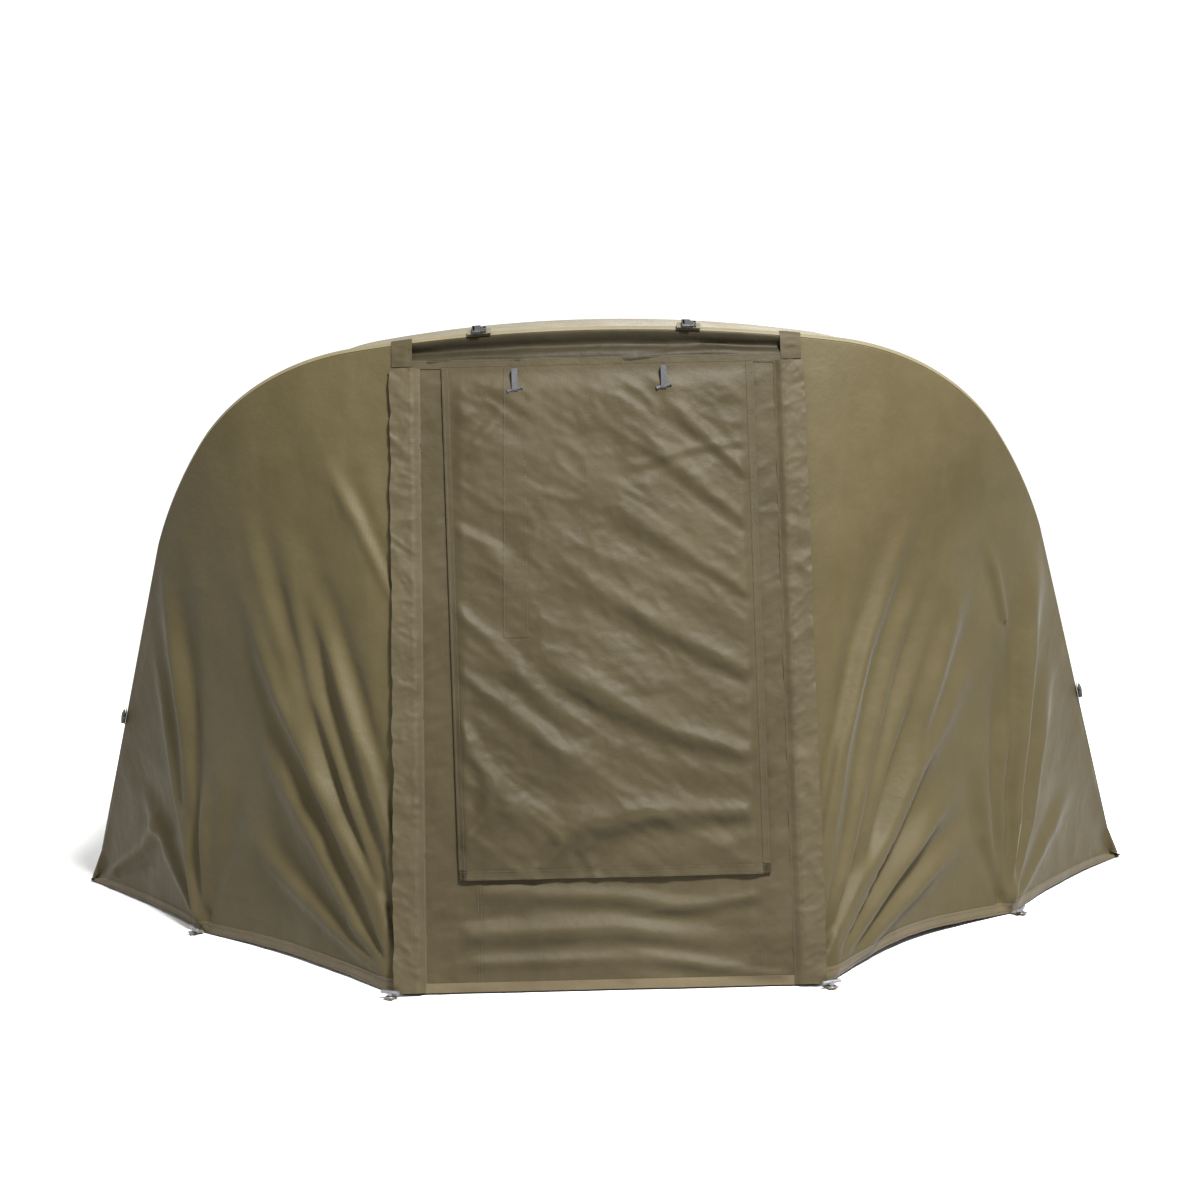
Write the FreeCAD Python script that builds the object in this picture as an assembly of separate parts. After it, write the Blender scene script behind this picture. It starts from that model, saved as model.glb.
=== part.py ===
import FreeCAD, Part
import math
import os

from FreeCAD import Placement, Rotation, Vector

# Two-person fold-back fishing shelter, pegged out, front door closed.
# Millimetres. X is across the front, -Y is the front, +Z is up.
# The origin is on the ground, midway between the two hub feet.

os.makedirs("parts", exist_ok=True)

# Hub: one foot at each side, with one bolt that all three hoops turn on
pivot_z = 50.0
hoop_pitch = 26.0            # spacing of the three knuckles along the bolt
knuckle_half = 12.5          # half of a knuckle's width
knuckle_r = 18.0
socket_r = 12.0
socket_end = 80.0            # how far the pole socket reaches from the bolt
cheek_gap = 1.0              # side play of a knuckle
cheek_t = 6.5
cheek_r = 19.0
knuckle_relief = 4.5         # room round a cheek where a knuckle passes it
foot_t = 8.0
foot_half_y = 34.0
foot_tail = 40.0             # foot length inboard of the inner cheek
peg_hole_r = 5.0
bolt_r = 4.0
running_clearance = 0.06
bolt_head_t = 5.0

# Poles
pole_r = 9.5
pole_wall = 1.5
sleeve_r = 11.6              # outside of an elbow sleeve
sleeve_reach = 45.0          # sleeve length each side of the elbow
press_clearance = 0.1
elbow_clearance = 1.0        # the sleeve bends smoothly where the poles meet at an angle
splay = 16.0                 # leg angle off vertical, in the hoop's plane
turns = (20.0, 33.0, 81.0, 90.0)   # tangent angles that bound the three arcs

# Hoops: base on the bolt, straight leg length, first and second bend radii,
# lean from vertical (forward is positive)
front_base = 1417.0
hoop_sizes = {
    "front": (front_base, 1165.0, 1443.0, 563.0, 32.15),
    "mid": (front_base - hoop_pitch, 980.0, 1390.0, 542.0, -4.0),
    "rear": (front_base - 2 * hoop_pitch, 925.0, 1326.0, 517.0, -50.0),
}

# Fabric
fabric_t = 3.0
fabric_in = 13.2             # inner face of the fabric from a pole's centre
fabric_out = fabric_in + fabric_t
seam_gap = 0.6               # each panel stops this far short of a shared edge
header_gap = 2.6             # the brow band stops this far below the rim
hem_z = 4.0
hub_corner_x = 1463.0        # lines that carry the fabric past the hub to the ground
hub_corner_y = 40.0
corner_rise = 30.0           # short upright edge of the walls at the hub corner
hub_top_x = 1430.0
hub_top_z = 85.0

# Ground plan of the hem corners, right-hand side
front_corner = Vector(490, -1150, hem_z)
side_corner = Vector(1040, -600, hem_z)
rear_side_corner = Vector(1240, 740, hem_z)
rear_corner = Vector(690, 1235, hem_z)
rear_centre = Vector(0, 1262, hem_z)

# Front wall, measured across at the rim
wing_edge = 462.0
surround_edge = 448.0
zip_line = 455.0
strip_outer = 478.0
strip_inner = 408.0
door_seam_z = 1423.0
doorway_half = 300.0
doorway_top = 1360.0
doorway_sill = 300.0
flap_top_half = 360.0
flap_bottom_half = 337.0
flap_bottom_z = 255.0
flap_stand = 4.0             # air between the door surround and the door flap
strip_stand = 9.0            # air between the wings and the zip cover strips

# Zips
coil_w = 2.6
coil_gap = 1.2
coil_t = 3.0
tape_w = 12.0
tape_low = 1.6               # underside and top of the tape, off the wall
tape_high = 2.6
zip_top_z = 1400.0
zip_bottom_z = 30.0
slider_z = 62.0
slider_length = 22.0

# Toggles that tie the rolled-up door
toggle_x = (-190.0, 154.0)
toggle_drop = 52.0
toggle_tape_w = 13.0
toggle_bar = 36.0
toggle_bar_r = 4.0
toggle_tape_t = 1.5
toggle_air = 2.5             # between a loop and the door flap
toggle_inside = 0.3          # between a loop and its bar

# Strap buckles
roof_buckle_x = (-268.0, 214.0)
side_buckle_share = (0.475, 0.488)   # up the leg, left and right
side_buckle_ground = 0.48    # where the wing beside them reaches the ground line
strap_air = 1.0
buckle_size = (34.0, 24.0, 9.0)

# Pegs
peg_offset = 26.0            # peg stands this far outside its hem corner
peg_depth = 190.0
peg_r = 4.0
peg_head = 46.0
peg_head_r = 4.5
peg_head_z = 17.0
loop_w = 24.0
loop_t = 2.0
loop_z = 7.0
loop_hole_r = 6.0

cabin_centre = Vector(0, 0, 500)


def save(shape, node):
    shape.exportStep("parts/" + node + ".step")


def save_pair(shape, name):
    save(shape, name + "_right")
    save(mirrored(shape), name + "_left")


def mirrored(shape):
    return shape.mirror(Vector(0, 0, 0), Vector(1, 0, 0))


def unit(v):
    return Vector(v) / v.Length


def bar(start, end, radius):
    """Round bar between two points."""
    along = end - start
    return Part.makeCylinder(radius, along.Length, start, along)


def pipe(edges, radius):
    """Round bar that follows tangent edges."""
    path = Part.Wire(edges)
    first = path.OrderedEdges[0]
    start = first.valueAt(first.FirstParameter)
    heading = first.tangentAt(first.FirstParameter)
    if first.Orientation == "Reversed":
        start = first.valueAt(first.LastParameter)
        heading = first.tangentAt(first.LastParameter) * -1
    ring = Part.Wire(Part.makeCircle(radius, start, heading))
    return path.makePipeShell([ring], True, True)


def sheet(outer, inner, holes=()):
    """Closed sheet between two grids of points; holes lists the open cells."""
    rows = len(outer)
    columns = len(outer[0])
    j = columns // 2 - 1
    corner = outer[0][j]
    facing = (outer[1][j] - corner).cross(outer[0][j + 1] - corner)
    if facing.dot(corner - inner[0][j]) < 0:
        # turn the grid round so that its faces point outwards
        outer = [row[::-1] for row in outer]
        inner = [row[::-1] for row in inner]
        holes = [(i, columns - 2 - j) for i, j in holes]
    cells = {(i, j) for i in range(rows - 1) for j in range(columns - 1)}
    cells -= set(holes)
    faces = []

    def add(a, b, c):
        faces.append(Part.Face(Part.makePolygon([a, b, c, a])))

    def quad(a, b, c, d):
        add(a, b, c)
        add(a, c, d)

    for i, j in sorted(cells):
        quad(outer[i][j], outer[i + 1][j], outer[i + 1][j + 1], outer[i][j + 1])
        quad(inner[i][j], inner[i][j + 1], inner[i + 1][j + 1], inner[i + 1][j])
        sides = (
            ((i - 1, j), (i, j + 1), (i, j)),
            ((i + 1, j), (i + 1, j), (i + 1, j + 1)),
            ((i, j - 1), (i, j), (i + 1, j)),
            ((i, j + 1), (i + 1, j + 1), (i, j + 1)),
        )
        for neighbour, p, q in sides:
            if neighbour not in cells:
                quad(outer[p[0]][p[1]], outer[q[0]][q[1]], inner[q[0]][q[1]], inner[p[0]][p[1]])
    shell = Part.Shell(faces)
    shell.sewShape()
    return Part.Solid(shell)


class Hoop:
    """One folding hoop: its half outline in its own plane, leant about the bolt."""

    def __init__(self, name):
        self.name = name
        self.base, self.leg, r1, r2, self.lean = hoop_sizes[name]
        angle = math.radians(splay)
        x = self.base - self.leg * math.sin(angle)
        s = self.leg * math.cos(angle)
        self.arcs = []
        for radius, start, end in zip((r1, r2, None), turns, turns[1:]):
            t0 = math.radians(start)
            t1 = math.radians(end)
            if radius is None:
                radius = x / math.cos(t0)
            self.arcs.append((x, s, radius, t0, t1))
            x -= radius * (math.cos(t0) - math.cos(t1))
            s += radius * (math.sin(t1) - math.sin(t0))
        lean = math.radians(self.lean)
        self.up = Vector(0, -math.sin(lean), math.cos(lean))
        self.ahead = Vector(0, -math.cos(lean), -math.sin(lean))

    def place(self, x, s):
        return Vector(x, 0, pivot_z) + self.up * s

    def heading(self, angle):
        return Vector(-math.sin(angle), 0, 0) + self.up * math.cos(angle)

    def on_leg(self, distance):
        angle = math.radians(splay)
        x = self.base - distance * math.sin(angle)
        return self.place(x, distance * math.cos(angle)), self.heading(angle)

    def on_arc(self, number, share):
        x, s, radius, t0, t1 = self.arcs[number]
        angle = t0 + (t1 - t0) * share
        px = x - radius * (math.cos(t0) - math.cos(angle))
        ps = s + radius * (math.sin(angle) - math.sin(t0))
        return self.place(px, ps), self.heading(angle)

    def arc_edge(self, number, share=1.0):
        points = [self.on_arc(number, share * k / 2)[0] for k in range(3)]
        return Part.Arc(*points).toShape()

    def crown_share(self, x):
        """Place on the last arc that is x from the centre line."""
        radius, t0, t1 = self.arcs[2][2:]
        return (math.acos(x / radius) - t0) / (t1 - t0)

    def station(self, key):
        """Centre and heading of the line that carries the fabric."""
        kind, value = key
        if kind == "arc":
            return self.on_arc(*value)
        spread = {"front": -hub_corner_y, "mid": 0.0, "rear": hub_corner_y}[self.name]
        hub_top = Vector(hub_top_x, spread, hub_top_z)
        if kind == "ground":
            return Vector(hub_corner_x, spread, hem_z + value), Vector(0, 0, 1)
        run = self.on_leg(self.leg)[0] - hub_top
        return hub_top + run * value, unit(run)


hoops = {name: Hoop(name) for name in hoop_sizes}

side_keys = [("ground", 0.0)] + [("leg", share) for share in (0.0, 0.3, 0.6, 0.93)]
side_keys += [("arc", (0, share)) for share in (0.0, 0.35, 0.7)]
side_keys += [("arc", (1, share)) for share in (0.0, 0.25, 0.5, 0.75)]
side_keys += [("arc", (2, 0.0))]
half_keys = side_keys + [("arc", (2, share)) for share in (0.35, 0.7, 1.0)]
wing_keys = side_keys + [("arc", (2, hoops["front"].crown_share(wing_edge)))]
corner_key = [("ground", corner_rise)]

# How far round the ground line each station of the front rim reaches
wing_shares = [0.04, 0.12, 0.32, 0.62, 0.95, 1.0, 1.12, 1.27, 1.42, 1.57, 1.71, 1.84, 1.94, 2.0]
rear_shares = [0.04, 0.12, 0.32, 0.6, 0.94, 1.0, 1.15, 1.35, 1.55, 1.72, 1.86, 1.95]
rear_shares += [2.03, 2.35, 2.7, 3.0]


def on_ground(corners, share):
    index = min(int(share), len(corners) - 2)
    return corners[index] + (corners[index + 1] - corners[index]) * (share - index)


def panel_normal(centre, heading, target):
    """Unit direction of a panel that runs from a pole to a target, and its outward normal."""
    run = target - centre
    run = unit(run - heading * run.dot(heading))
    normal = unit(run.cross(heading))
    if normal.dot(centre - cabin_centre) < 0:
        normal = normal * -1
    return run, normal


def shared_edge(centre, heading, target, other):
    """Outer and inner corner of a panel where it meets its neighbour over a pole."""
    run, normal = panel_normal(centre, heading, target)
    bisector = unit(normal + panel_normal(centre, heading, other)[1])
    slant = normal.dot(bisector)
    shift = run * seam_gap
    return centre + bisector * (fabric_out / slant) + shift, centre + bisector * (fabric_in / slant) + shift


def hem_edge(point, centre, heading):
    normal = panel_normal(centre, heading, point)[1]
    return Vector(point), point - normal * fabric_t


front_ground = [Vector(hub_corner_x + fabric_out, -hub_corner_y, hem_z), side_corner, front_corner]
rear_ground = [
    Vector(hub_corner_x + fabric_out, hub_corner_y, hem_z), rear_side_corner, rear_corner, rear_centre,
]


def targets(name, keys):
    """For each station of a hoop: where the panels ahead of it and behind it lead."""
    result = []
    for index, key in enumerate(keys):
        if name == "front":
            ahead = on_ground(front_ground, wing_shares[min(index, len(wing_shares) - 1)])
            if key[0] == "arc" and key[1][0] == 2:
                ahead = Vector(hoops["front"].station(key)[0].x * 1.04, front_corner.y, hem_z)
            behind = hoops["mid"].station(key)[0]
        elif name == "mid":
            ahead = hoops["front"].station(key)[0]
            behind = hoops["rear"].station(key)[0]
        else:
            ahead = hoops["mid"].station(key)[0]
            behind = on_ground(rear_ground, rear_shares[index])
        result.append((ahead, behind))
    return result


def hoop_row(name, keys, side):
    """Corners along a hoop of the panel on one side of it, ahead or behind."""
    row = []
    for key, (ahead, behind) in zip(keys, targets(name, keys)):
        centre, heading = hoops[name].station(key)
        if side == "ahead":
            row.append(shared_edge(centre, heading, ahead, behind))
        else:
            row.append(shared_edge(centre, heading, behind, ahead))
    return row


def whole(row):
    """Adds the mirrored left half to a right-hand row that ends on the centre line."""
    left = [tuple(Vector(-p.x, p.y, p.z) for p in pair) for pair in row[:-1]]
    return left + row[::-1]


def lowered(pair):
    drop = Vector(0, 0, corner_rise)
    return pair[0] - drop, pair[1] - drop


def panel(first, last, steps):
    """Straight-ruled sheet between two rows of corner pairs."""
    outer = []
    inner = []
    for k in range(steps + 1):
        share = k / steps
        outer.append([a[0] + (b[0] - a[0]) * share for a, b in zip(first, last)])
        inner.append([a[1] + (b[1] - a[1]) * share for a, b in zip(first, last)])
    return sheet(outer, inner)


def make_roofs():
    front_roof = panel(
        whole(hoop_row("front", half_keys, "behind")), whole(hoop_row("mid", half_keys, "ahead")), 3)
    save(front_roof, "front_roof_panel")
    rear_roof = panel(
        whole(hoop_row("mid", half_keys, "behind")), whole(hoop_row("rear", half_keys, "ahead")), 3)
    save(rear_roof, "rear_roof_panel")
    top = hoop_row("rear", corner_key + half_keys[1:], "behind")
    hem = [lowered(top[0])]
    for key, share in zip(half_keys[1:], rear_shares[1:]):
        centre, heading = hoops["rear"].station(key)
        hem.append(hem_edge(on_ground(rear_ground, share), centre, heading))
    hem[-1] = tuple(Vector(0, p.y, p.z) for p in hem[-1])
    save(panel(whole(top), whole(hem), 3), "rear_wall_panel")


def make_wings():
    top = hoop_row("front", corner_key + wing_keys[1:], "ahead")
    hem = [lowered(top[0])]
    for key, share in zip(wing_keys[1:-1], wing_shares[1:-1]):
        centre, heading = hoops["front"].station(key)
        hem.append(hem_edge(on_ground(front_ground, share), centre, heading))
    last = front_line(wing_edge)
    hem.append((last["foot"], last["foot"] - last["out"] * fabric_t))
    save_pair(panel(top, hem, 4), "wing_panel")


def front_line(x):
    """Straight line down the front wall from the rim, x across from the centre."""
    key = ("arc", (2, hoops["front"].crown_share(abs(x))))
    centre, heading = hoops["front"].station(key)
    foot = Vector(abs(x) * front_corner.x / strip_outer, front_corner.y, hem_z)
    rim = shared_edge(centre, heading, foot, hoops["mid"].station(key)[0])[0]
    flip = -1 if x < 0 else 1
    rim.x *= flip
    foot.x *= flip
    down = unit(foot - rim)
    out = unit(down.cross(Vector(1, 0, 0)))
    if out.y > 0:
        out = out * -1
    return {"rim": rim, "foot": foot, "down": down, "out": out, "across": unit(out.cross(down))}


def wall_point(x, z, stand):
    """Point of the front wall at a height, standing proud of it."""
    line = front_line(x)
    share = (line["rim"].z - z) / (line["rim"].z - line["foot"].z)
    return line["rim"] + (line["foot"] - line["rim"]) * share + line["out"] * stand


def front_sheet(columns, heights, stand=0.0, holes=()):
    """Sheet on the front wall; columns is a function of height giving its x values."""
    outer = [[wall_point(x, z, stand + fabric_t) for x in columns(z)] for z in heights]
    inner = [[wall_point(x, z, stand) for x in columns(z)] for z in heights]
    return sheet(outer, inner, holes)


def even(low, high, count):
    return [low + (high - low) * k / count for k in range(count + 1)]


def make_header():
    """Brow band between the rim and the seam that the door hangs from."""
    rim = []
    seam = []
    for x in even(-wing_edge + 1, wing_edge - 1, 10):
        line = front_line(x)
        top = line["rim"] + line["down"] * header_gap
        rim.append((top, top - line["out"] * fabric_t))
        low = wall_point(x, door_seam_z + 1, 0)
        seam.append((low, low - line["out"] * fabric_t))
    save(panel(rim, seam, 1), "header_band")


def make_door():
    across = [-surround_edge, -374, -doorway_half, -150, 0, 150, doorway_half, 374, surround_edge]
    heights = [door_seam_z - 1, doorway_top, 1000, 650, doorway_sill, hem_z]
    holes = [(i, j) for i in (1, 2, 3) for j in (2, 3, 4, 5)]
    surround = front_sheet(lambda z: across, heights, -fabric_t, holes)
    save(surround, "door_surround")

    def flap_columns(z):
        share = (door_seam_z - z) / (door_seam_z - flap_bottom_z)
        half = flap_top_half + (flap_bottom_half - flap_top_half) * share
        return even(-half, half, 8)

    flap = front_sheet(flap_columns, even(door_seam_z - 3, flap_bottom_z, 3), flap_stand)
    save(flap, "door_flap")


def make_strips():
    """Cover strips over the two side zips, sewn to the door along their inner edge."""
    heights = even(door_seam_z - 2, hem_z + 2, 2)
    stands = (seam_gap, strip_stand, strip_stand)
    columns = (strip_inner, strip_inner + 14, strip_outer)
    outer = [[wall_point(x, z, s + fabric_t) for x, s in zip(columns, stands)] for z in heights]
    inner = [[wall_point(x, z, s) for x, s in zip(columns, stands)] for z in heights]
    save_pair(sheet(outer, inner), "zip_cover")
    tabs = []
    for x in (strip_inner + 16, strip_outer - 4):
        line = front_line(x)
        top = line["rim"] + line["out"] * 1.0 - line["down"] * 4
        low = wall_point(x, door_seam_z + 4, 1.0)
        tabs.append(((top + line["out"] * 2, top), (low + line["out"] * 2, low)))
    grid_out = [[tabs[0][0][0], tabs[1][0][0]], [tabs[0][1][0], tabs[1][1][0]]]
    grid_in = [[tabs[0][0][1], tabs[1][0][1]], [tabs[0][1][1], tabs[1][1][1]]]
    tab = sheet(grid_out, grid_in)
    save(Part.makeCompound([tab, mirrored(tab)]), "rim_tabs")


def strip_section(line, origin, low, high, length):
    """Square bar down the wall; low and high are (across, out) corners."""
    corners = ((low[0], low[1]), (high[0], low[1]), (high[0], high[1]), (low[0], high[1]))
    points = [origin + line["across"] * a + line["out"] * o for a, o in corners]
    return Part.Face(Part.makePolygon(points + points[:1])).extrude(line["down"] * length)


def make_zips():
    """Coil zips down both sides of the door, with one slider each."""
    line = front_line(zip_line)
    top = wall_point(zip_line, zip_top_z, 0)
    length = (top - wall_point(zip_line, zip_bottom_z, 0)).Length
    edge = coil_gap + coil_w
    sides = []
    for flip in (1, -1):
        coil = strip_section(line, top, (coil_gap * flip, 0), (edge * flip, coil_t), length)
        tape = strip_section(line, top, (edge * flip, tape_low), ((edge + tape_w) * flip, tape_high), length)
        sides.append(coil.fuse(tape).removeSplitter())
    save(Part.makeCompound([sides[0], mirrored(sides[0])]), "zip_wing_tapes")
    save(Part.makeCompound([sides[1], mirrored(sides[1])]), "zip_door_tapes")
    start = wall_point(zip_line, slider_z, 0)
    half = edge + 0.7
    back = strip_section(line, start, (-half, -2.0), (half, -0.4), slider_length)
    front = strip_section(line, start, (-half, coil_t + 0.4), (half, coil_t + 2.0), slider_length)
    post = strip_section(line, start, (-0.7, -1.0), (0.7, coil_t + 1.0), 6)
    pull_at = start + line["down"] * 6
    pull = strip_section(line, pull_at, (-3, coil_t + 1.9), (3, coil_t + 3.6), 34)
    save_pair(back.fuse([front, post, pull]).removeSplitter(), "zip_slider")


def make_toggles():
    """Webbing loops that hang in front of the door flap, each with a crossbar."""
    line = front_line(0)
    slope = math.degrees(math.asin(line["down"].y))
    for side, x in zip(("left", "right"), toggle_x):
        top = wall_point(x, door_seam_z - 3, 0)
        y = top.y - flap_stand - fabric_t - toggle_bar_r - toggle_tape_t - toggle_air
        bar_z = top.z - toggle_drop
        inside = toggle_bar_r + toggle_inside
        outside = inside + toggle_tape_t
        middle = Vector(x - toggle_tape_w / 2, y, bar_z)
        across = Vector(1, 0, 0)

        def stadium(radius):
            round_end = Part.makeCylinder(radius, toggle_tape_w, middle, across)
            run = Part.makeBox(toggle_tape_w, 2 * radius, toggle_drop - outside)
            run.translate(middle - Vector(0, radius, 0))
            return round_end.fuse(run)

        hollow = stadium(inside)
        band = stadium(outside)
        cap = Part.makeBox(toggle_tape_w, 2 * outside, toggle_tape_t)
        cap.translate(Vector(middle.x, y - outside, bar_z + toggle_drop - outside))
        hang = Vector(x, y, top.z)
        loop = band.cut(hollow).fuse(cap).removeSplitter()
        loop.rotate(hang, across, slope)
        save(loop, "toggle_loop_" + side)
        half = Vector(toggle_bar / 2, 0, 0)
        centre = Vector(x, y, bar_z)
        rod = bar(centre - half, centre + half, toggle_bar_r)
        for end in (-1, 1):
            rim = bar(centre + half * (0.86 * end), centre + half * end, toggle_bar_r + 1.2)
            rod = rod.fuse(rim.makeFillet(1.0, rim.Edges))
        rod.rotate(hang, across, slope)
        save(rod, "toggle_bar_" + side)


def buckle(centre, along, out):
    """Side-release buckle: body with two strap slots and rounded prongs."""
    length, width, depth = buckle_size
    body = Part.makeBox(length * 0.62, width, depth, Vector(-length * 0.5, -width / 2, 0))
    body = body.makeFillet(2.0, body.Edges)
    prongs = Part.makeBox(length * 0.42, width * 0.72, depth * 0.6,
                          Vector(length * 0.08, -width * 0.36, depth * 0.2))
    prongs = prongs.makeFillet(1.5, prongs.Edges)
    slot = Part.makeBox(4, width * 0.66, depth + 2, Vector(-length * 0.42, -width * 0.33, -1))
    slot_2 = slot.copy()
    slot_2.translate(Vector(length * 0.74, 0, 0))
    shape = body.fuse(prongs).cut(slot).cut(slot_2)
    turn = Rotation(unit(along), out.cross(along), unit(out), "XZY")
    shape.Placement = Placement(centre, turn)
    return shape


def strap_tab(centre, along, out, length):
    """Flat webbing under a buckle."""
    tab = Part.makeBox(length, 18, 1.6, Vector(-length / 2, -9, 0))
    tab.Placement = Placement(centre, Rotation(unit(along), out.cross(along), unit(out), "XZY"))
    return tab


def make_buckles():
    front = hoops["front"]
    for side, x in zip(("left", "right"), roof_buckle_x):
        key = ("arc", (2, front.crown_share(abs(x))))
        centre, heading = front.station(key)
        flip = -1 if x < 0 else 1
        centre.x *= flip
        along = Vector(abs(heading.x), heading.y, heading.z * flip * -1)
        along = unit(Vector(along.x, -heading.y * flip, -heading.z * flip))
        line = front_line(x)
        out = unit(front.up + front.ahead * 0.16)
        out = unit(out - along * out.dot(along))
        foot = line["rim"] + out * 2.5
        save(strap_tab(foot, along, out, 56), "roof_strap_" + side)
        save(buckle(foot + out * 1.7, along, out), "roof_buckle_" + side)
    for side, share in zip(("left", "right"), side_buckle_share):
        centre, heading = front.station(("leg", share))
        ground = on_ground(front_ground, side_buckle_ground)
        ridge = shared_edge(centre, heading, ground, hoops["mid"].station(("leg", share))[0])[0]
        outward = ridge - centre
        outward = unit(outward - heading * outward.dot(heading))
        foot = ridge + outward * strap_air
        tab = strap_tab(foot, heading, outward, 44)
        clip = buckle(foot + outward * 1.7, heading, outward)
        if side == "left":
            tab = mirrored(tab)
            clip = mirrored(clip)
        save(tab, "side_strap_" + side)
        save(clip, "side_buckle_" + side)


def outward_from(corner):
    flat = Vector(corner.x, corner.y, 0)
    return unit(flat)


def make_pegs():
    """T-headed ground pegs through webbing loops at the hem corners."""
    pegs = []
    loops = {"front": [], "rear": []}
    for group, corner in (("front", front_corner), ("front", side_corner),
                          ("rear", rear_side_corner), ("rear", rear_corner)):
        out = outward_from(corner)
        across = Vector(-out.y, out.x, 0)
        foot = Vector(corner.x, corner.y, 0) + out * peg_offset
        head = foot + Vector(0, 0, peg_head_z)
        spike = bar(head, foot - Vector(0, 0, peg_depth - 20), peg_r)
        tip = Part.makeCone(peg_r, 0.6, 20, foot - Vector(0, 0, peg_depth - 20), Vector(0, 0, -1))
        crossbar = bar(head - across * (peg_head / 2), head + across * (peg_head / 2), peg_head_r)
        collar = bar(head - Vector(0, 0, 7.5), head, peg_r + 2.5)
        peg = spike.fuse([tip, crossbar, collar])
        pegs += [peg, mirrored(peg)]
        tab = Part.makeBox(peg_offset + 10, loop_w, loop_t, Vector(3, -loop_w / 2, 0))
        end = Part.makeCylinder(loop_w / 2, loop_t, Vector(peg_offset + 1, 0, 0))
        hole = Part.makeCylinder(loop_hole_r, 20, Vector(peg_offset, 0, -8))
        loop = tab.fuse(end).cut(hole)
        turn = Rotation(out, across, Vector(0, 0, 1), "XZY")
        loop.Placement = Placement(Vector(corner.x, corner.y, loop_z - loop_t), turn)
        loops[group] += [loop, mirrored(loop)]
    save(Part.makeCompound(pegs), "ground_pegs")
    save(Part.makeCompound(loops["front"]), "peg_loops_front")
    save(Part.makeCompound(loops["rear"]), "peg_loops_rear")


def make_hoop(name):
    """Knuckles, legs, elbows and crown pole of one hoop."""
    hoop = hoops[name]
    axis = Vector(1, 0, 0)
    pivot = Vector(hoop.base, 0, pivot_z)
    bore_r = bolt_r + running_clearance
    disc = Part.makeCylinder(knuckle_r, 2 * knuckle_half, pivot - axis * knuckle_half, axis)
    socket = bar(pivot, hoop.on_leg(socket_end)[0], socket_r)
    neighbour = Part.makeCylinder(cheek_r + knuckle_relief, hoop_pitch, pivot - axis * (knuckle_half + hoop_pitch), axis)
    bolt_hole = Part.makeCylinder(bore_r, 4 * knuckle_half, pivot - axis * 2 * knuckle_half, axis)
    pole_hole = bar(hoop.on_leg(30)[0], hoop.on_leg(socket_end + 5)[0], pole_r + press_clearance)
    outer_side = Part.makeBox(40, 400, 400, pivot + Vector(knuckle_half, -200, -200))
    knuckle = disc.fuse(socket).cut(neighbour).cut(outer_side).cut(bolt_hole).cut(pole_hole)
    save_pair(knuckle, name + "_knuckle")

    leg = bar(hoop.on_leg(31)[0], hoop.on_leg(hoop.leg - 1)[0], pole_r)
    leg = leg.cut(bar(hoop.on_leg(0)[0], hoop.on_leg(hoop.leg)[0], pole_r - pole_wall))
    save_pair(leg, name + "_leg_pole")

    reach = sleeve_reach / (hoop.arcs[0][2] * math.radians(turns[1] - turns[0]))
    lower = hoop.on_leg(hoop.leg - sleeve_reach)[0]
    corner = hoop.on_leg(hoop.leg)[0]
    upper = hoop.on_arc(0, reach)[0]
    inward = unit(lower + upper - corner * 2)
    quarter_turn = math.radians(turns[0] - splay) / 4
    middle = corner + inward * (sleeve_reach * math.tan(quarter_turn))
    path = [Part.Arc(lower, middle, upper).toShape()]
    sleeve = pipe(path, sleeve_r).cut(pipe(path, pole_r + elbow_clearance))
    save_pair(sleeve, name + "_elbow")

    edges = [hoop.arc_edge(number) for number in range(3)]
    flipped = [mirrored(edge) for edge in edges]
    path = edges + flipped[::-1]
    crown = pipe(path, pole_r).cut(pipe(path, pole_r - pole_wall))
    save(crown, name + "_crown_pole")
    print(name, "pole volume", round(crown.Volume))


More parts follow.
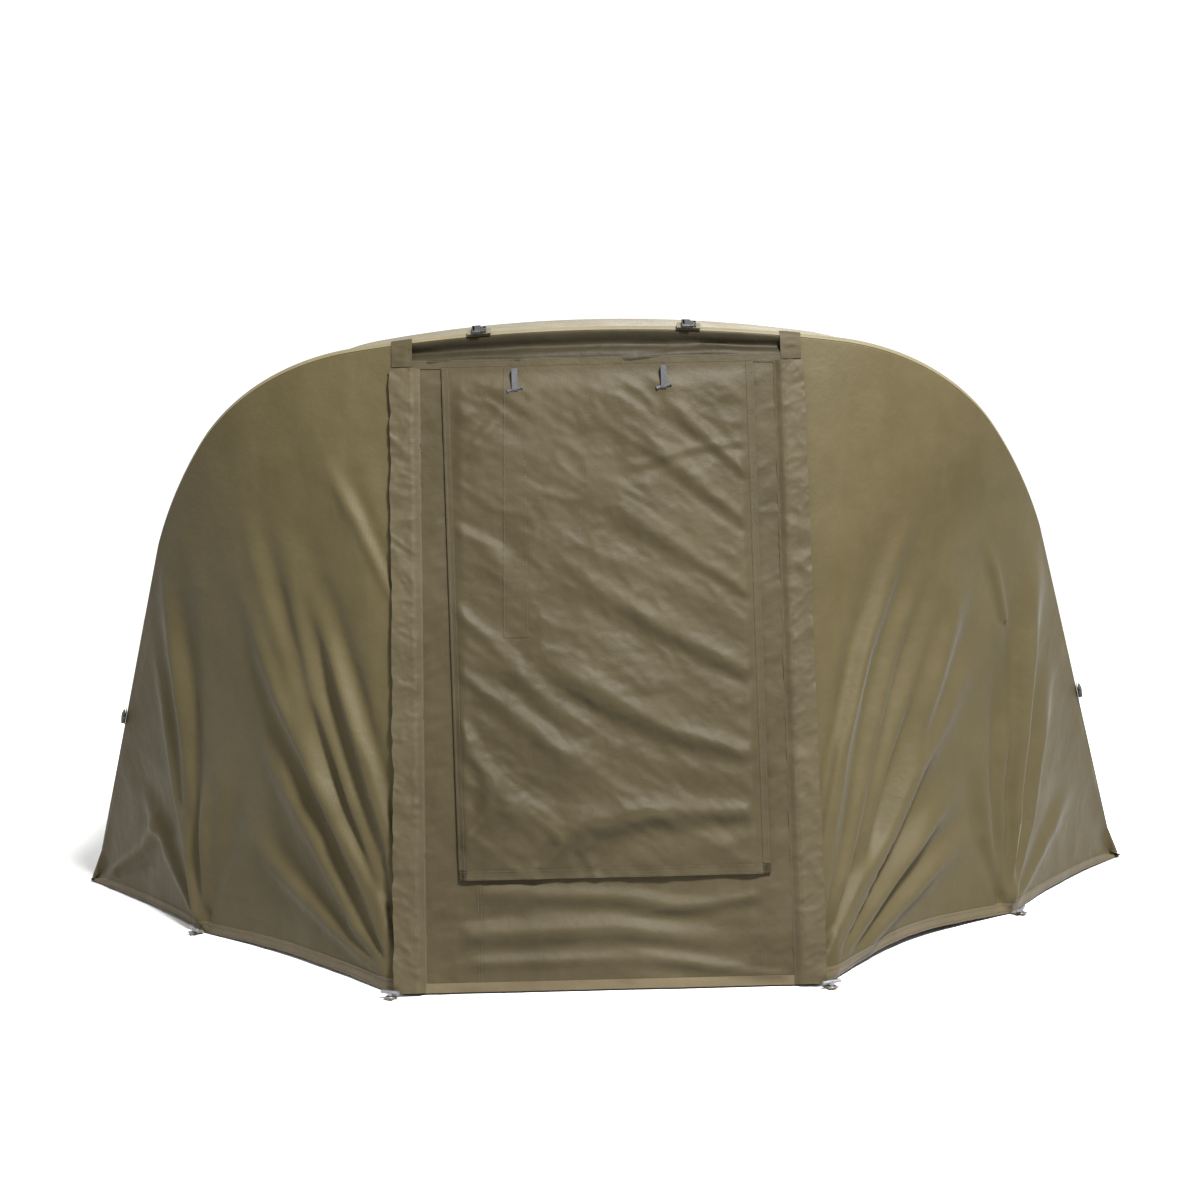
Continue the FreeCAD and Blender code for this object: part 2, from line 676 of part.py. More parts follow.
def make_hub():
    """Ground foot with two cheeks, and the bolt and nut that carry the knuckles."""
    outer = hoop_sizes["front"][0] + knuckle_half + cheek_gap
    inner = hoop_sizes["rear"][0] - knuckle_half - cheek_gap
    tail = inner - cheek_t - foot_tail
    edge = outer + cheek_t
    foot = Part.makeBox(edge - tail, 2 * foot_half_y, foot_t, Vector(tail, -foot_half_y, 0))
    foot = foot.makeFillet(12, [e for e in foot.Edges if abs(e.tangentAt(0).z) > 0.9])
    cheeks = []
    for x in (inner - cheek_t, outer):
        post = Part.makeBox(cheek_t, 2 * cheek_r, pivot_z, Vector(x, -cheek_r, 0))
        top = Part.makeCylinder(cheek_r, cheek_t, Vector(x, 0, pivot_z), Vector(1, 0, 0))
        cheeks += [post, top]
    foot = foot.fuse(cheeks).removeSplitter()
    bore = bolt_r + running_clearance
    foot = foot.cut(Part.makeCylinder(bore, 200, Vector(tail, 0, pivot_z), Vector(1, 0, 0)))
    peg_x = tail + foot_tail / 2
    foot = foot.cut(Part.makeCylinder(peg_hole_r, 40, Vector(peg_x, 0, -5)))
    print("hub foot: peg hole x", peg_x, "foot x", tail, edge)
    save_pair(foot, "hub_foot")

    def hexagon(x, thickness, radius):
        points = []
        for k in range(7):
            angle = math.radians(60 * k)
            points.append(Vector(x, radius * math.cos(angle), pivot_z + radius * math.sin(angle)))
        return Part.Face(Part.makePolygon(points)).extrude(Vector(thickness, 0, 0))

    shank_start = inner - cheek_t - 11
    shank = Part.makeCylinder(bolt_r, edge - shank_start, Vector(shank_start, 0, pivot_z), Vector(1, 0, 0))
    head = hexagon(edge, bolt_head_t, 9.0)
    save_pair(shank.fuse(head).removeSplitter(), "pivot_bolt")
    nut = hexagon(inner - cheek_t - 8, 8, 9.0)
    nut = nut.cut(Part.makeCylinder(bore, 60, Vector(shank_start - 10, 0, pivot_z), Vector(1, 0, 0)))
    save_pair(nut, "pivot_nut")


for hoop_name in hoop_sizes:
    make_hoop(hoop_name)
make_hub()
make_roofs()
make_wings()
make_header()
make_door()
make_strips()
make_zips()
make_toggles()
make_buckles()
make_pegs()

hinge = wall_point(0, door_seam_z, 0)
print("door seam", round(hinge.y, 2), round(hinge.z, 2))
slide = front_line(zip_line)["down"]
print("zip direction", [round(-v, 6) for v in slide])
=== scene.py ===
import math

import bpy
import numpy as np
from mathutils import Matrix, Vector


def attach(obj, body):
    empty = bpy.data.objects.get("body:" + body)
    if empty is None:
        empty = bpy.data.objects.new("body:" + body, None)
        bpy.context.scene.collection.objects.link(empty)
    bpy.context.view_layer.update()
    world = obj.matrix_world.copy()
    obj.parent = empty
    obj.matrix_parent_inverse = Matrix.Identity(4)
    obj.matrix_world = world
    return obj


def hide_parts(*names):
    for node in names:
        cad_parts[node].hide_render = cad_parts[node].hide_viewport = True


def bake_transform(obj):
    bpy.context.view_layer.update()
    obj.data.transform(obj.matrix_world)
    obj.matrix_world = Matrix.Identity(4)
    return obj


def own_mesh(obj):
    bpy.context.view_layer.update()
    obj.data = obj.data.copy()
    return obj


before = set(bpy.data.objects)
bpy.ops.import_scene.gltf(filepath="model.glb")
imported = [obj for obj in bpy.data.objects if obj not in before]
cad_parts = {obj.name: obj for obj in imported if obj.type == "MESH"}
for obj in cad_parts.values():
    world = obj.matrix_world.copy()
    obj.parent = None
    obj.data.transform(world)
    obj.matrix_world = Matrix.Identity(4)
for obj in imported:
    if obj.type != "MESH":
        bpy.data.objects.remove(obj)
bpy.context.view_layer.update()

scene = bpy.context.scene

# Fold-back fishing shelter, pegged out with its front door closed.
# Metres, the same frame as the plain model: X across the front, -Y the front, Z up.


# helpers on numbers


def smooth(t):
    t = np.clip(t, 0.0, 1.0)
    return t * t * (3.0 - 2.0 * t)


def unit(v):
    return v / np.maximum(np.linalg.norm(v, axis=-1, keepdims=True), 1e-12)


def dot(a, b):
    return (a * b).sum(-1, keepdims=True)


def blob(a, b, seed):
    # smooth seeded noise from -1 to 1 on a plane, one bump per unit
    grid = np.random.default_rng(seed).random((48, 48)) * 2.0 - 1.0
    ia, ib = np.floor(a).astype(int), np.floor(b).astype(int)
    fa, fb = smooth(a - ia), smooth(b - ib)
    ia, ib = ia % 48, ib % 48
    ja, jb = (ia + 1) % 48, (ib + 1) % 48
    low = grid[ia, ib] * (1 - fa) + grid[ja, ib] * fa
    high = grid[ia, jb] * (1 - fa) + grid[ja, jb] * fa
    return low * (1 - fb) + high * fb


def crease(a, b, seed, octaves=3):
    # sharp-crested noise from 0 to 1: what crumpled cloth looks like
    total, size, weight = 0.0, 1.0, 0.0
    for k in range(octaves):
        shiftA = blob(a * size * 0.7 + 3.1, b * size * 0.7, seed + 50 + k) * 0.45
        shiftB = blob(a * size * 0.7, b * size * 0.7 + 7.7, seed + 80 + k) * 0.45
        n = 1.0 - np.abs(blob(a * size + shiftA, b * size + shiftB, seed + k)) * 2.0
        total = total + np.clip(n, -1, 1) / size
        weight += 1.0 / size
        size *= 1.9
    return total / weight * 0.5 + 0.5


def foldField(x, z, folds):
    # sum of listed folds; each is (points across and up, steepness, width at its foot, width far off)
    total = np.zeros_like(x)
    for points, steep, narrow, wide in folds:
        p = np.array(points, float)
        legs = np.linalg.norm(np.diff(p, axis=0), axis=1)
        length = legs.sum()
        best = np.full(x.shape, 9.0)
        side, along = np.zeros_like(x), np.zeros_like(x)
        start = 0.0
        for k, leg in enumerate(legs):
            d = (p[k + 1] - p[k]) / leg
            t = (x - p[k, 0]) * d[0] + (z - p[k, 1]) * d[1]
            across = -(x - p[k, 0]) * d[1] + (z - p[k, 1]) * d[0]
            over = np.maximum(0, np.maximum(-t, t - leg))
            far = np.hypot(across, over)
            near = far < best
            best = np.where(near, far, best)
            side = np.where(near, np.sign(across) * far, side)
            along = np.where(near, (start + np.clip(t, 0, leg)) / length, along)
            start += leg
        w = narrow + (wide - narrow) * along
        height = steep * w * smooth(along / 0.06 + 0.15) * (1 - smooth((along - 0.55) / 0.45))
        total += height * (np.exp(-(side / w) ** 2) - 0.55 * np.exp(-((side - 1.7 * w) / (1.2 * w)) ** 2))
    return total


# the hoops that carry the cloth

shelter = {
    "pivotHeight": 0.050,
    "splay": 16.0,  # degrees that the legs lean inwards
    "turns": (20.0, 33.0, 81.0, 90.0),  # tangent angles between the arcs
    "clothRadius": 0.0162,  # cloth outside, from a pole's centre
    "clothThickness": 0.0013,
    "hubTop": (1.430, 0.085),  # where the cloth line leaves the hub: across, up
    "hubGround": 1.463,
    "hubSpread": {"front": -0.040, "mid": 0.0, "rear": 0.040},
    "hem": 0.004,
    "doorSeam": 1.423,
    "flare": 0.490 / 0.478,  # the front wall's foot is wider than its top by this
    "frontFoot": -1.150,
}
hoopSizes = {  # foot half-width, leg, first and second bend, lean forward
    "front": (1.417, 1.165, 1.443, 0.563, 32.15),
    "mid": (1.391, 0.980, 1.390, 0.542, -4.0),
    "rear": (1.365, 0.925, 1.326, 0.517, -50.0),
}
cabinMiddle = np.array((0.0, 0.0, 0.5))
breaks = np.array((0.0, 0.033, 0.469, 0.596, 0.780, 1.0))  # ground, hub, elbow, two arcs, crown


class Hoop:
    def __init__(self, name):
        self.name = name
        self.base, self.leg, r1, r2, lean = hoopSizes[name]
        self.lean = lean
        a = math.radians(shelter["splay"])
        x, s = self.base - self.leg * math.sin(a), self.leg * math.cos(a)
        self.arcs = []
        turns = [math.radians(t) for t in shelter["turns"]]
        for radius, t0, t1 in zip((r1, r2, None), turns, turns[1:]):
            radius = radius or x / math.cos(t0)
            self.arcs.append((x, s, radius, t0, t1))
            x -= radius * (math.cos(t0) - math.cos(t1))
            s += radius * (math.sin(t1) - math.sin(t0))
        a = math.radians(lean)
        self.up = np.array((0.0, -math.sin(a), math.cos(a)))
        self.ahead = np.array((0.0, -math.cos(a), -math.sin(a)))

    def place(self, x, s):
        x, s = np.asarray(x, float), np.asarray(s, float)
        flat = np.stack((x, np.zeros_like(x), np.full_like(x, shelter["pivotHeight"])), -1)
        return flat + s[..., None] * self.up

    def line(self, u):
        # centre and heading of the cloth's line at u from 0 (ground) to 1 (crown middle)
        u = np.asarray(u, float)
        centre, heading = np.zeros(u.shape + (3,)), np.zeros(u.shape + (3,))
        part = np.clip(np.searchsorted(breaks, u, side="right") - 1, 0, 4)
        share = (u - breaks[part]) / (breaks[part + 1] - breaks[part])
        spread = shelter["hubSpread"][self.name]
        ground = np.array((shelter["hubGround"], spread, shelter["hem"]))
        hub = np.array((shelter["hubTop"][0], spread, shelter["hubTop"][1]))
        x, s = self.arcs[0][:2]
        elbow = self.place(x, s)
        for k, (a, b) in enumerate(((ground, hub), (hub, elbow))):
            at = part == k
            centre[at] = a + (b - a) * share[at, None]
            heading[at] = unit(b - a) if k else (0.0, 0.0, 1.0)
        for k, (x, s, radius, t0, t1) in enumerate(self.arcs):
            at = part == k + 2
            angle = t0 + (t1 - t0) * share[at]
            px = x - radius * (math.cos(t0) - np.cos(angle))
            ps = s + radius * (np.sin(angle) - math.sin(t0))
            centre[at] = self.place(px, ps)
            sideways = np.stack((-np.sin(angle), 0 * angle, 0 * angle), -1)
            heading[at] = sideways + np.cos(angle)[:, None] * self.up
        return centre, heading

    def crownAt(self, x):
        # u of the place on the crown that is x from the middle
        radius, t0, t1 = self.arcs[2][2:]
        share = (np.arccos(np.clip(np.abs(x) / radius, 0, 1)) - t0) / (t1 - t0)
        return breaks[4] + (breaks[5] - breaks[4]) * share


hoops = {name: Hoop(name) for name in hoopSizes}
front = hoops["front"]


def panelNormal(centre, heading, target):
    run = target - centre
    run = unit(run - heading * dot(run, heading))
    normal = unit(np.cross(run, heading))
    return normal * np.where(dot(normal, centre - cabinMiddle) < 0, -1.0, 1.0)


def rolled(centre, a, b, share):
    # point of the cloth going round a pole, from direction a to direction b
    angle = np.arccos(np.clip(dot(a, b), -1, 1))
    safe = np.maximum(np.sin(angle), 1e-6)
    n = np.where(angle > 1e-4, (np.sin((1 - share) * angle) * a + np.sin(share * angle) * b) / safe, a)
    return centre + unit(n) * shelter["clothRadius"]


# ground plan of the hem, right-hand side
groundPlan = {
    "front": [(1.4792, -0.040), (1.040, -0.600), (0.490, -1.150)],
    "rear": [(1.4792, 0.040), (1.240, 0.740), (0.690, 1.235), (0.0, 1.262)],
}
keyU = np.concatenate((
    [0.0], breaks[1] + (breaks[2] - breaks[1]) * np.array((0.0, 0.3, 0.6, 0.93)),
    breaks[2] + (breaks[3] - breaks[2]) * np.array((0.0, 0.35, 0.7)),
    breaks[3] + (breaks[4] - breaks[3]) * np.array((0.0, 0.25, 0.5, 0.75)),
))
frontEdgeU = float(front.crownAt(0.462))
frontShares = (keyU.tolist() + [breaks[4], frontEdgeU],
               [0.0, 0.12, 0.32, 0.62, 0.95, 1.0, 1.12, 1.27, 1.42, 1.57, 1.71, 1.84, 1.94, 2.0])
rearShares = (keyU.tolist() + (breaks[4] + (1 - breaks[4]) * np.array((0.0, 0.35, 0.7, 1.0))).tolist(),
              [0.0, 0.12, 0.32, 0.6, 0.94, 1.0, 1.15, 1.35, 1.55, 1.72, 1.86, 1.95, 2.03, 2.35, 2.7, 3.0])


def onGround(end, u):
    shares = frontShares if end == "front" else rearShares
    share = np.interp(u, *shares)
    plan = np.array(groundPlan[end])
    steps = np.arange(len(plan))
    x, y = np.interp(share, steps, plan[:, 0]), np.interp(share, steps, plan[:, 1])
    return np.stack((x, y, np.full_like(x, shelter["hem"])), -1), share


def frontFoot(u):
    # where the front wall's line from the rim at u meets the ground
    foot, share = onGround("front", u)
    crown = u >= frontEdgeU
    x = front.line(u)[0][..., 0] * shelter["flare"]
    wide = smooth((u - breaks[4]) / (frontEdgeU - breaks[4]))
    foot[..., 0] = np.where(crown, x, foot[..., 0] * (1 - wide) + (0.4736 * wide))
    foot[..., 1] = np.where(crown, shelter["frontFoot"], foot[..., 1])
    return foot, share


def bend(u, name):
    # directions of the cloth either side of a hoop: ahead of it, behind it
    centre, heading = hoops[name].line(u)
    if name == "front":
        ahead, behind = frontFoot(u)[0], hoops["mid"].line(u)[0]
    elif name == "mid":
        ahead, behind = front.line(u)[0], hoops["rear"].line(u)[0]
    else:
        ahead, behind = hoops["mid"].line(u)[0], onGround("rear", u)[0]
    return centre, panelNormal(centre, heading, ahead), panelNormal(centre, heading, behind)


def gridNormals(p):
    du, dv = np.gradient(p, axis=1), np.gradient(p, axis=0)
    n = unit(np.cross(du, dv))
    middle = p - cabinMiddle
    flip = np.where((n * middle).sum(-1).mean() < 0, -1.0, 1.0)
    return n * flip


def wholeWidth(half):
    # adds the left half to right-hand columns that end on the centre line
    left = half[:, :-1] * np.array((-1.0, 1.0, 1.0))
    return np.concatenate((left, half[:, ::-1]), axis=1)


# meshes


def newMesh(name, points, faces, sharp=50.0):
    mesh = bpy.data.meshes.new(name)
    mesh.from_pydata(points.tolist(), [], [tuple(f) for f in faces])
    mesh.update()
    mesh.shade_smooth()
    mesh.set_sharp_from_angle(angle=math.radians(sharp))
    piece = bpy.data.objects.new(name, mesh)
    scene.collection.objects.link(piece)
    return piece


def clothSkin(outer, thickness, keep=None):
    # closed thin skin from a grid of outside points; keep is a grid of cells, False where it is open
    rows, columns = outer.shape[:2]
    inner = outer - gridNormals(outer) * thickness
    if keep is None:
        keep = np.ones((rows - 1, columns - 1), bool)
    index = np.arange(rows * columns).reshape(rows, columns)
    low = index + rows * columns
    a, b, c, d = index[:-1, :-1], index[:-1, 1:], index[1:, 1:], index[1:, :-1]
    e, f, g, h = low[:-1, :-1], low[:-1, 1:], low[1:, 1:], low[1:, :-1]
    faces = [np.stack((a, b, c, d), -1)[keep], np.stack((h, g, f, e), -1)[keep]]
    padded = np.pad(keep, 1)
    for step, p, q, r, s in (((-1, 0), b, a, e, f), ((1, 0), d, c, g, h),
                             ((0, -1), a, d, h, e), ((0, 1), c, b, f, g)):
        beside = padded[1 + step[0]:rows + step[0], 1 + step[1]:columns + step[1]]
        faces.append(np.stack((p, q, r, s), -1)[keep & ~beside])
    faces = np.concatenate(faces)
    points = np.concatenate((outer.reshape(-1, 3), inner.reshape(-1, 3)))
    facing = np.cross(outer[0, 1] - outer[0, 0], outer[1, 0] - outer[0, 0])
    if (facing * (outer[0, 0] - inner[0, 0])).sum() < 0:
        faces = faces[:, ::-1]
    used, faces = np.unique(faces, return_inverse=True)
    return points[used], faces.reshape(-1, 4)


def joined(*parts):
    points, faces, start = [], [], 0
    for p, f in parts:
        points.append(p)
        faces += (np.asarray(f) + start).tolist()
        start += len(p)
    return np.concatenate(points), faces


def clothPiece(name, outer, thickness=None, keep=None):
    return newMesh(name, *clothSkin(outer, thickness or shelter["clothThickness"], keep))


def boxFaces(count):
    # faces of boxes whose eight corners follow one another, four below and four above
    block = np.array(((0, 1, 2, 3), (7, 6, 5, 4), (4, 5, 1, 0), (5, 6, 2, 1), (6, 7, 3, 2), (7, 4, 0, 3)))
    return (block[None] + np.arange(count)[:, None, None] * 8).reshape(-1, 4)


def stitchRow(points, normals, length=0.0042, gap=0.0026, thick=0.0009, proud=0.0002):
    # thread dashes laid along a line on the cloth
    p, n = np.asarray(points, float), np.asarray(normals, float)
    run = np.concatenate(([0.0], np.cumsum(np.linalg.norm(np.diff(p, axis=0), axis=1))))
    starts = np.arange(0.002, run[-1] - length, length + gap)
    at = lambda d, q: np.stack([np.interp(d, run, q[:, k]) for k in range(3)], -1)
    a, b = at(starts, p), at(starts + length, p)
    up = unit(at(starts + length / 2, n))
    along = unit(b - a)
    side = np.cross(up, along) * thick / 2
    lift = up * (proud + thick / 2)
    corners = [a - side, a + side, b + side, b - side]
    points = np.stack([q - up * 0.0006 for q in corners] + [q + lift for q in corners], 1)
    return points.reshape(-1, 3), boxFaces(len(starts))[:, ::-1]


# finishes


class Wire:
    # one socket of a node tree; arithmetic on it adds Math nodes
    def __init__(self, finish, socket):
        self.finish, self.socket = finish, socket

    def maths(self, operation, *others):
        sockets = {k: v for k, v in enumerate((self,) + others)}
        return self.finish.make("ShaderNodeMath", {"operation": operation}, sockets)

    def swapped(self, operation, other):
        return self.finish.make("ShaderNodeMath", {"operation": operation}, {0: other, 1: self})

    def __add__(self, other):
        return self.maths("ADD", other)

    def __sub__(self, other):
        return self.maths("SUBTRACT", other)

    def __mul__(self, other):
        return self.maths("MULTIPLY", other)

    def __truediv__(self, other):
        return self.maths("DIVIDE", other)

    def __rsub__(self, other):
        return self.swapped("SUBTRACT", other)

    __radd__, __rmul__ = __add__, __mul__


class Finish:
    def __init__(self, name):
        self.material = bpy.data.materials.new(name)
        self.material.use_nodes = True
        self.tree = self.material.node_tree
        self.tree.nodes.clear()
        self.place = self.make("ShaderNodeTexCoord", output="Object")

    def make(self, kind, settings=None, sockets=None, output=0):
        node = self.tree.nodes.new(kind)
        for key, value in (settings or {}).items():
            setattr(node, key, value)
        for key, value in (sockets or {}).items():
            if isinstance(value, Wire):
                self.tree.links.new(value.socket, node.inputs[key])
            else:
                node.inputs[key].default_value = value
        return node if output is None else Wire(self, node.outputs[output])

    def stretched(self, scale, turn=(0.0, 0.0, 0.0)):
        return self.make("ShaderNodeMapping", None,
                         {"Vector": self.place, "Scale": scale, "Rotation": turn})

    def cloud(self, scale, detail=3.0, rough=0.5, vector=None):
        sockets = {"Vector": vector or self.place, "Scale": scale, "Detail": detail, "Roughness": rough}
        return self.make("ShaderNodeTexNoise", None, sockets, "Fac")

    def bands(self, direction, scale):
        sockets = {"Vector": self.place, "Scale": scale}
        return self.make("ShaderNodeTexWave", {"bands_direction": direction}, sockets, "Fac")

    def spread(self, value, low, high, to=(0.0, 1.0)):
        sockets = {"Value": value, "From Min": low, "From Max": high, "To Min": to[0], "To Max": to[1]}
        return self.make("ShaderNodeMapRange", {"clamp": True}, sockets, "Result")

    def blended(self, factor, first, second, way="MIX"):
        sockets = {0: factor}
        for key, value in ((6, first), (7, second)):
            sockets[key] = value if isinstance(value, Wire) else (*value, 1.0)
        return self.make("ShaderNodeMix", {"data_type": "RGBA", "blend_type": way}, sockets, 2)

    def bumped(self, height, distance, strength=1.0, under=None):
        sockets = {"Height": height, "Distance": distance, "Strength": strength}
        if under:
            sockets["Normal"] = under
        return self.make("ShaderNodeBump", None, sockets)

    def surface(self, colour, roughness, normal=None, **fixed):
        shade = colour if isinstance(colour, Wire) else (*colour, 1.0)
        sockets = {"Base Color": shade, "Roughness": roughness}
        if normal:
            sockets["Normal"] = normal
        for key, value in fixed.items():
            sockets[key.replace("_", " ")] = value
        shader = self.make("ShaderNodeBsdfPrincipled", None, sockets, "BSDF")
        self.make("ShaderNodeOutputMaterial", None, {"Surface": shader}, None)
        return self.material


clothLook = {
    "weave": 900.0,  # threads a metre, drawn a little coarse
    "sheen": 0.04,
    "roughness": 0.62,
    "gloss": 0.16,
    "dust": (0.064, 0.052, 0.031),  # dried mud near the ground
}


def coatedCloth(name, colour, deep, pale, dusty=0.25):
    # coated polyester: plain weave, soft sheen, mottled by handling, paler where it is dusty or creased
    f = Finish(name)
    broad = f.spread(f.cloud(1.6, 3.0, 0.55), 0.35, 0.68)
    patch = f.spread(f.cloud(7.0, 4.0, 0.6), 0.42, 0.72)
    streak = f.spread(f.cloud(5.0, 3.0, 0.6, f.stretched((2.2, 2.2, 0.5))), 0.45, 0.75)
    shade = f.blended(broad, deep, colour)
    shade = f.blended(patch * 0.35, shade, pale)
    shade = f.blended(streak * 0.22, shade, pale)
    up = f.make("ShaderNodeSeparateXYZ", None, {"Vector": f.place}, "Z")
    low = f.spread(up, 0.45, 0.0) * f.spread(f.cloud(9.0, 4.0, 0.65), 0.3, 0.7)
    shade = f.blended(low * dusty, shade, clothLook["dust"])
    thread = clothLook["weave"] * 2.0 * math.pi / 20.0
    weave = f.bands("X", thread) * f.bands("Z", thread)
    crumple = f.cloud(38.0, 5.0, 0.62)
    soft = f.cloud(11.0, 4.0, 0.55)
    normal = f.bumped(soft, 0.010, 0.30)
    normal = f.bumped(crumple, 0.004, 0.30, normal)
    normal = f.bumped(weave, 0.0003, 0.25, normal)
    roughness = f.spread(patch, 0.0, 1.0, (clothLook["roughness"] - 0.07, clothLook["roughness"] + 0.08))
    return f.surface(shade, roughness, normal, Sheen_Weight=clothLook["sheen"],
                     Sheen_Roughness=0.45, Specular_IOR_Level=clothLook["gloss"])


def webbing(name, colour, dark, ribs=520.0):
    f = Finish(name)
    rib = f.bands("DIAGONAL", ribs)
    wear = f.spread(f.cloud(60.0, 4.0, 0.6), 0.35, 0.7)
    shade = f.blended(rib * 0.5, colour, dark)
    shade = f.blended(wear * 0.25, shade, dark)
    normal = f.bumped(rib, 0.0006, 0.6)
    return f.surface(shade, f.spread(wear, 0, 1, (0.7, 0.85)), normal, Sheen_Weight=0.2)


def mouldedPlastic(name, colour, worn, roughness=0.42, grain=900.0):
    f = Finish(name)
    fine = f.cloud(grain, 2.0, 0.5)
    scuff = f.spread(f.cloud(45.0, 5.0, 0.7), 0.52, 0.8)
    shade = f.blended(scuff * 0.5, colour, worn)
    normal = f.bumped(fine, 0.0002, 0.5)
    return f.surface(shade, f.spread(scuff, 0, 1, (roughness, roughness + 0.2)), normal)


def metal(name, colour, worn, roughness=0.35, metallic=1.0, drawn=(6.0, 6.0, 0.4)):
    f = Finish(name)
    streak = f.cloud(90.0, 3.0, 0.5, f.stretched(drawn))
    scuff = f.spread(f.cloud(30.0, 5.0, 0.7), 0.5, 0.78)
    shade = f.blended(scuff * 0.6, colour, worn)
    normal = f.bumped(streak, 0.0001, 0.4)
    return f.surface(shade, f.spread(streak + scuff * 0.3, 0.2, 1.0, (roughness - 0.08, roughness + 0.2)),
                     normal, Metallic=metallic)


finishes = {
    "wall": coatedCloth("olive_wall_cloth", (0.047, 0.038, 0.0175),
                 (0.038, 0.030, 0.0125), (0.061, 0.050, 0.026)),
    # painted shade: the door is the same olive cloth as the walls, painted darker so that it reads as less
    # lit
    "door": coatedCloth("olive_door_cloth", (0.034, 0.027, 0.0135),
                 (0.026, 0.020, 0.009), (0.047, 0.038, 0.021), 0.4),
    # painted shade: the brow band under the front pole is the olive cloth painted very dark for the shade
    # under the rim; the dip in its shape adds real shade too
    "brow": coatedCloth("painted_shade_brow_cloth", (0.017, 0.013, 0.0055),
                 (0.013, 0.010, 0.004), (0.024, 0.019, 0.009), 0.0),
    # painted light: the roof is the same olive cloth as the walls, painted about twice as pale for the top
    # light and sheen that fall on it
    "roof": coatedCloth("olive_roof_cloth", (0.092, 0.079, 0.048),
                 (0.078, 0.067, 0.039), (0.114, 0.098, 0.062), 0.1),
    "strip": coatedCloth("tan_strip_cloth", (0.043, 0.034, 0.0185),
                 (0.034, 0.027, 0.014), (0.060, 0.049, 0.029), 0.4),
    "binding": coatedCloth("tan_hem_binding", (0.078, 0.062, 0.037),
                 (0.062, 0.049, 0.028), (0.105, 0.085, 0.054), 0.3),
    "thread": webbing("olive_thread", (0.040, 0.032, 0.017), (0.028, 0.022, 0.011), 1500.0),
    "webbing": webbing("olive_webbing", (0.075, 0.062, 0.036), (0.040, 0.033, 0.019)),
    "greyWebbing": webbing("dark_grey_webbing", (0.034, 0.034, 0.038), (0.014, 0.014, 0.016)),
    "blackPlastic": mouldedPlastic("black_nylon", (0.016, 0.016, 0.017), (0.05, 0.05, 0.05)),
    "greyPlastic": mouldedPlastic("grey_toggle_plastic", (0.030, 0.032, 0.037), (0.07, 0.07, 0.078), 0.38),
    "hubPlastic": mouldedPlastic("glass_filled_nylon", (0.022, 0.022, 0.021), (0.07, 0.068, 0.06),
                                 0.5, 500.0),
    "pole": metal("anodised_pole", (0.060, 0.058, 0.052), (0.14, 0.14, 0.13), 0.38, 0.85),
    "bolt": metal("plated_steel", (0.50, 0.49, 0.46), (0.30, 0.27, 0.22), 0.32),
    "zip": mouldedPlastic("zip_nylon", (0.050, 0.045, 0.030), (0.11, 0.10, 0.07), 0.5),
    "tape": webbing("zip_tape", (0.070, 0.060, 0.036), (0.045, 0.040, 0.024), 900.0),
    "peg": metal("gunmetal_peg", (0.20, 0.20, 0.21), (0.42, 0.41, 0.39), 0.40, 0.9),
}
print("finishes made")


# putting pieces on the bodies


def dress(piece, look, slotName, *nodes):
    piece.data.materials.clear()
    piece.data.materials.append(finishes[look])
    if nodes:
        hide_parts(*nodes)
    return piece


def onFront(piece, body="front_hoop"):
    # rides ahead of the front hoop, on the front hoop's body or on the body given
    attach(piece, body)
    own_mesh(piece)
    return piece


def between(piece, share):
    # cloth between two hoops; share is 0 on the rear one and 1 on the front one
    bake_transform(piece)
    points = np.array([v.co for v in piece.data.vertices])
    weights = np.clip(share(points), 0.0, 1.0).astype(np.float32)
    return piece


def leanOf(points):
    # degrees that a point leans forward about the hub bolts
    return np.degrees(np.arctan2(-points[:, 1], points[:, 2] - shelter["pivotHeight"]))


# roof and rear wall

roofLook = {
    "columns": 240,  # across each half
    "rows": 54,
    "sag": 0.016,  # how far the cloth hollows between two hoops
    "ripple": 0.0035,
    "hubReach": 0.12,  # nearer the bolts than this, lean angles mean little
    "hubSpread": 0.04,
    "wallFoot": -92.5,  # lean of the rear wall's foot, and of its top edge
    "wallTop": -50.0,
}


def roofGrid(name, aheadName, u):
    # right-hand half of the cloth between a hoop and the one ahead of it
    rearCentre, rearAhead, rearBehind = bend(u, name)
    frontCentre, frontAhead, frontBehind = bend(u, aheadName)
    rows = []
    for share in (0.5, 0.75, 1.0):
        rows.append(rolled(rearCentre, rearBehind, rearAhead, share))
    a, b = rows[-1], rolled(frontCentre, frontAhead, frontBehind, 1.0)
    steps = np.linspace(0, 1, roofLook["rows"])[1:]
    rows += [a + (b - a) * t for t in steps]
    last = 0.22 if aheadName == "front" else 0.5
    for share in np.linspace(1.0, last, 8)[1:]:
        rows.append(rolled(frontCentre, frontAhead, frontBehind, share))
    return np.array(rows)


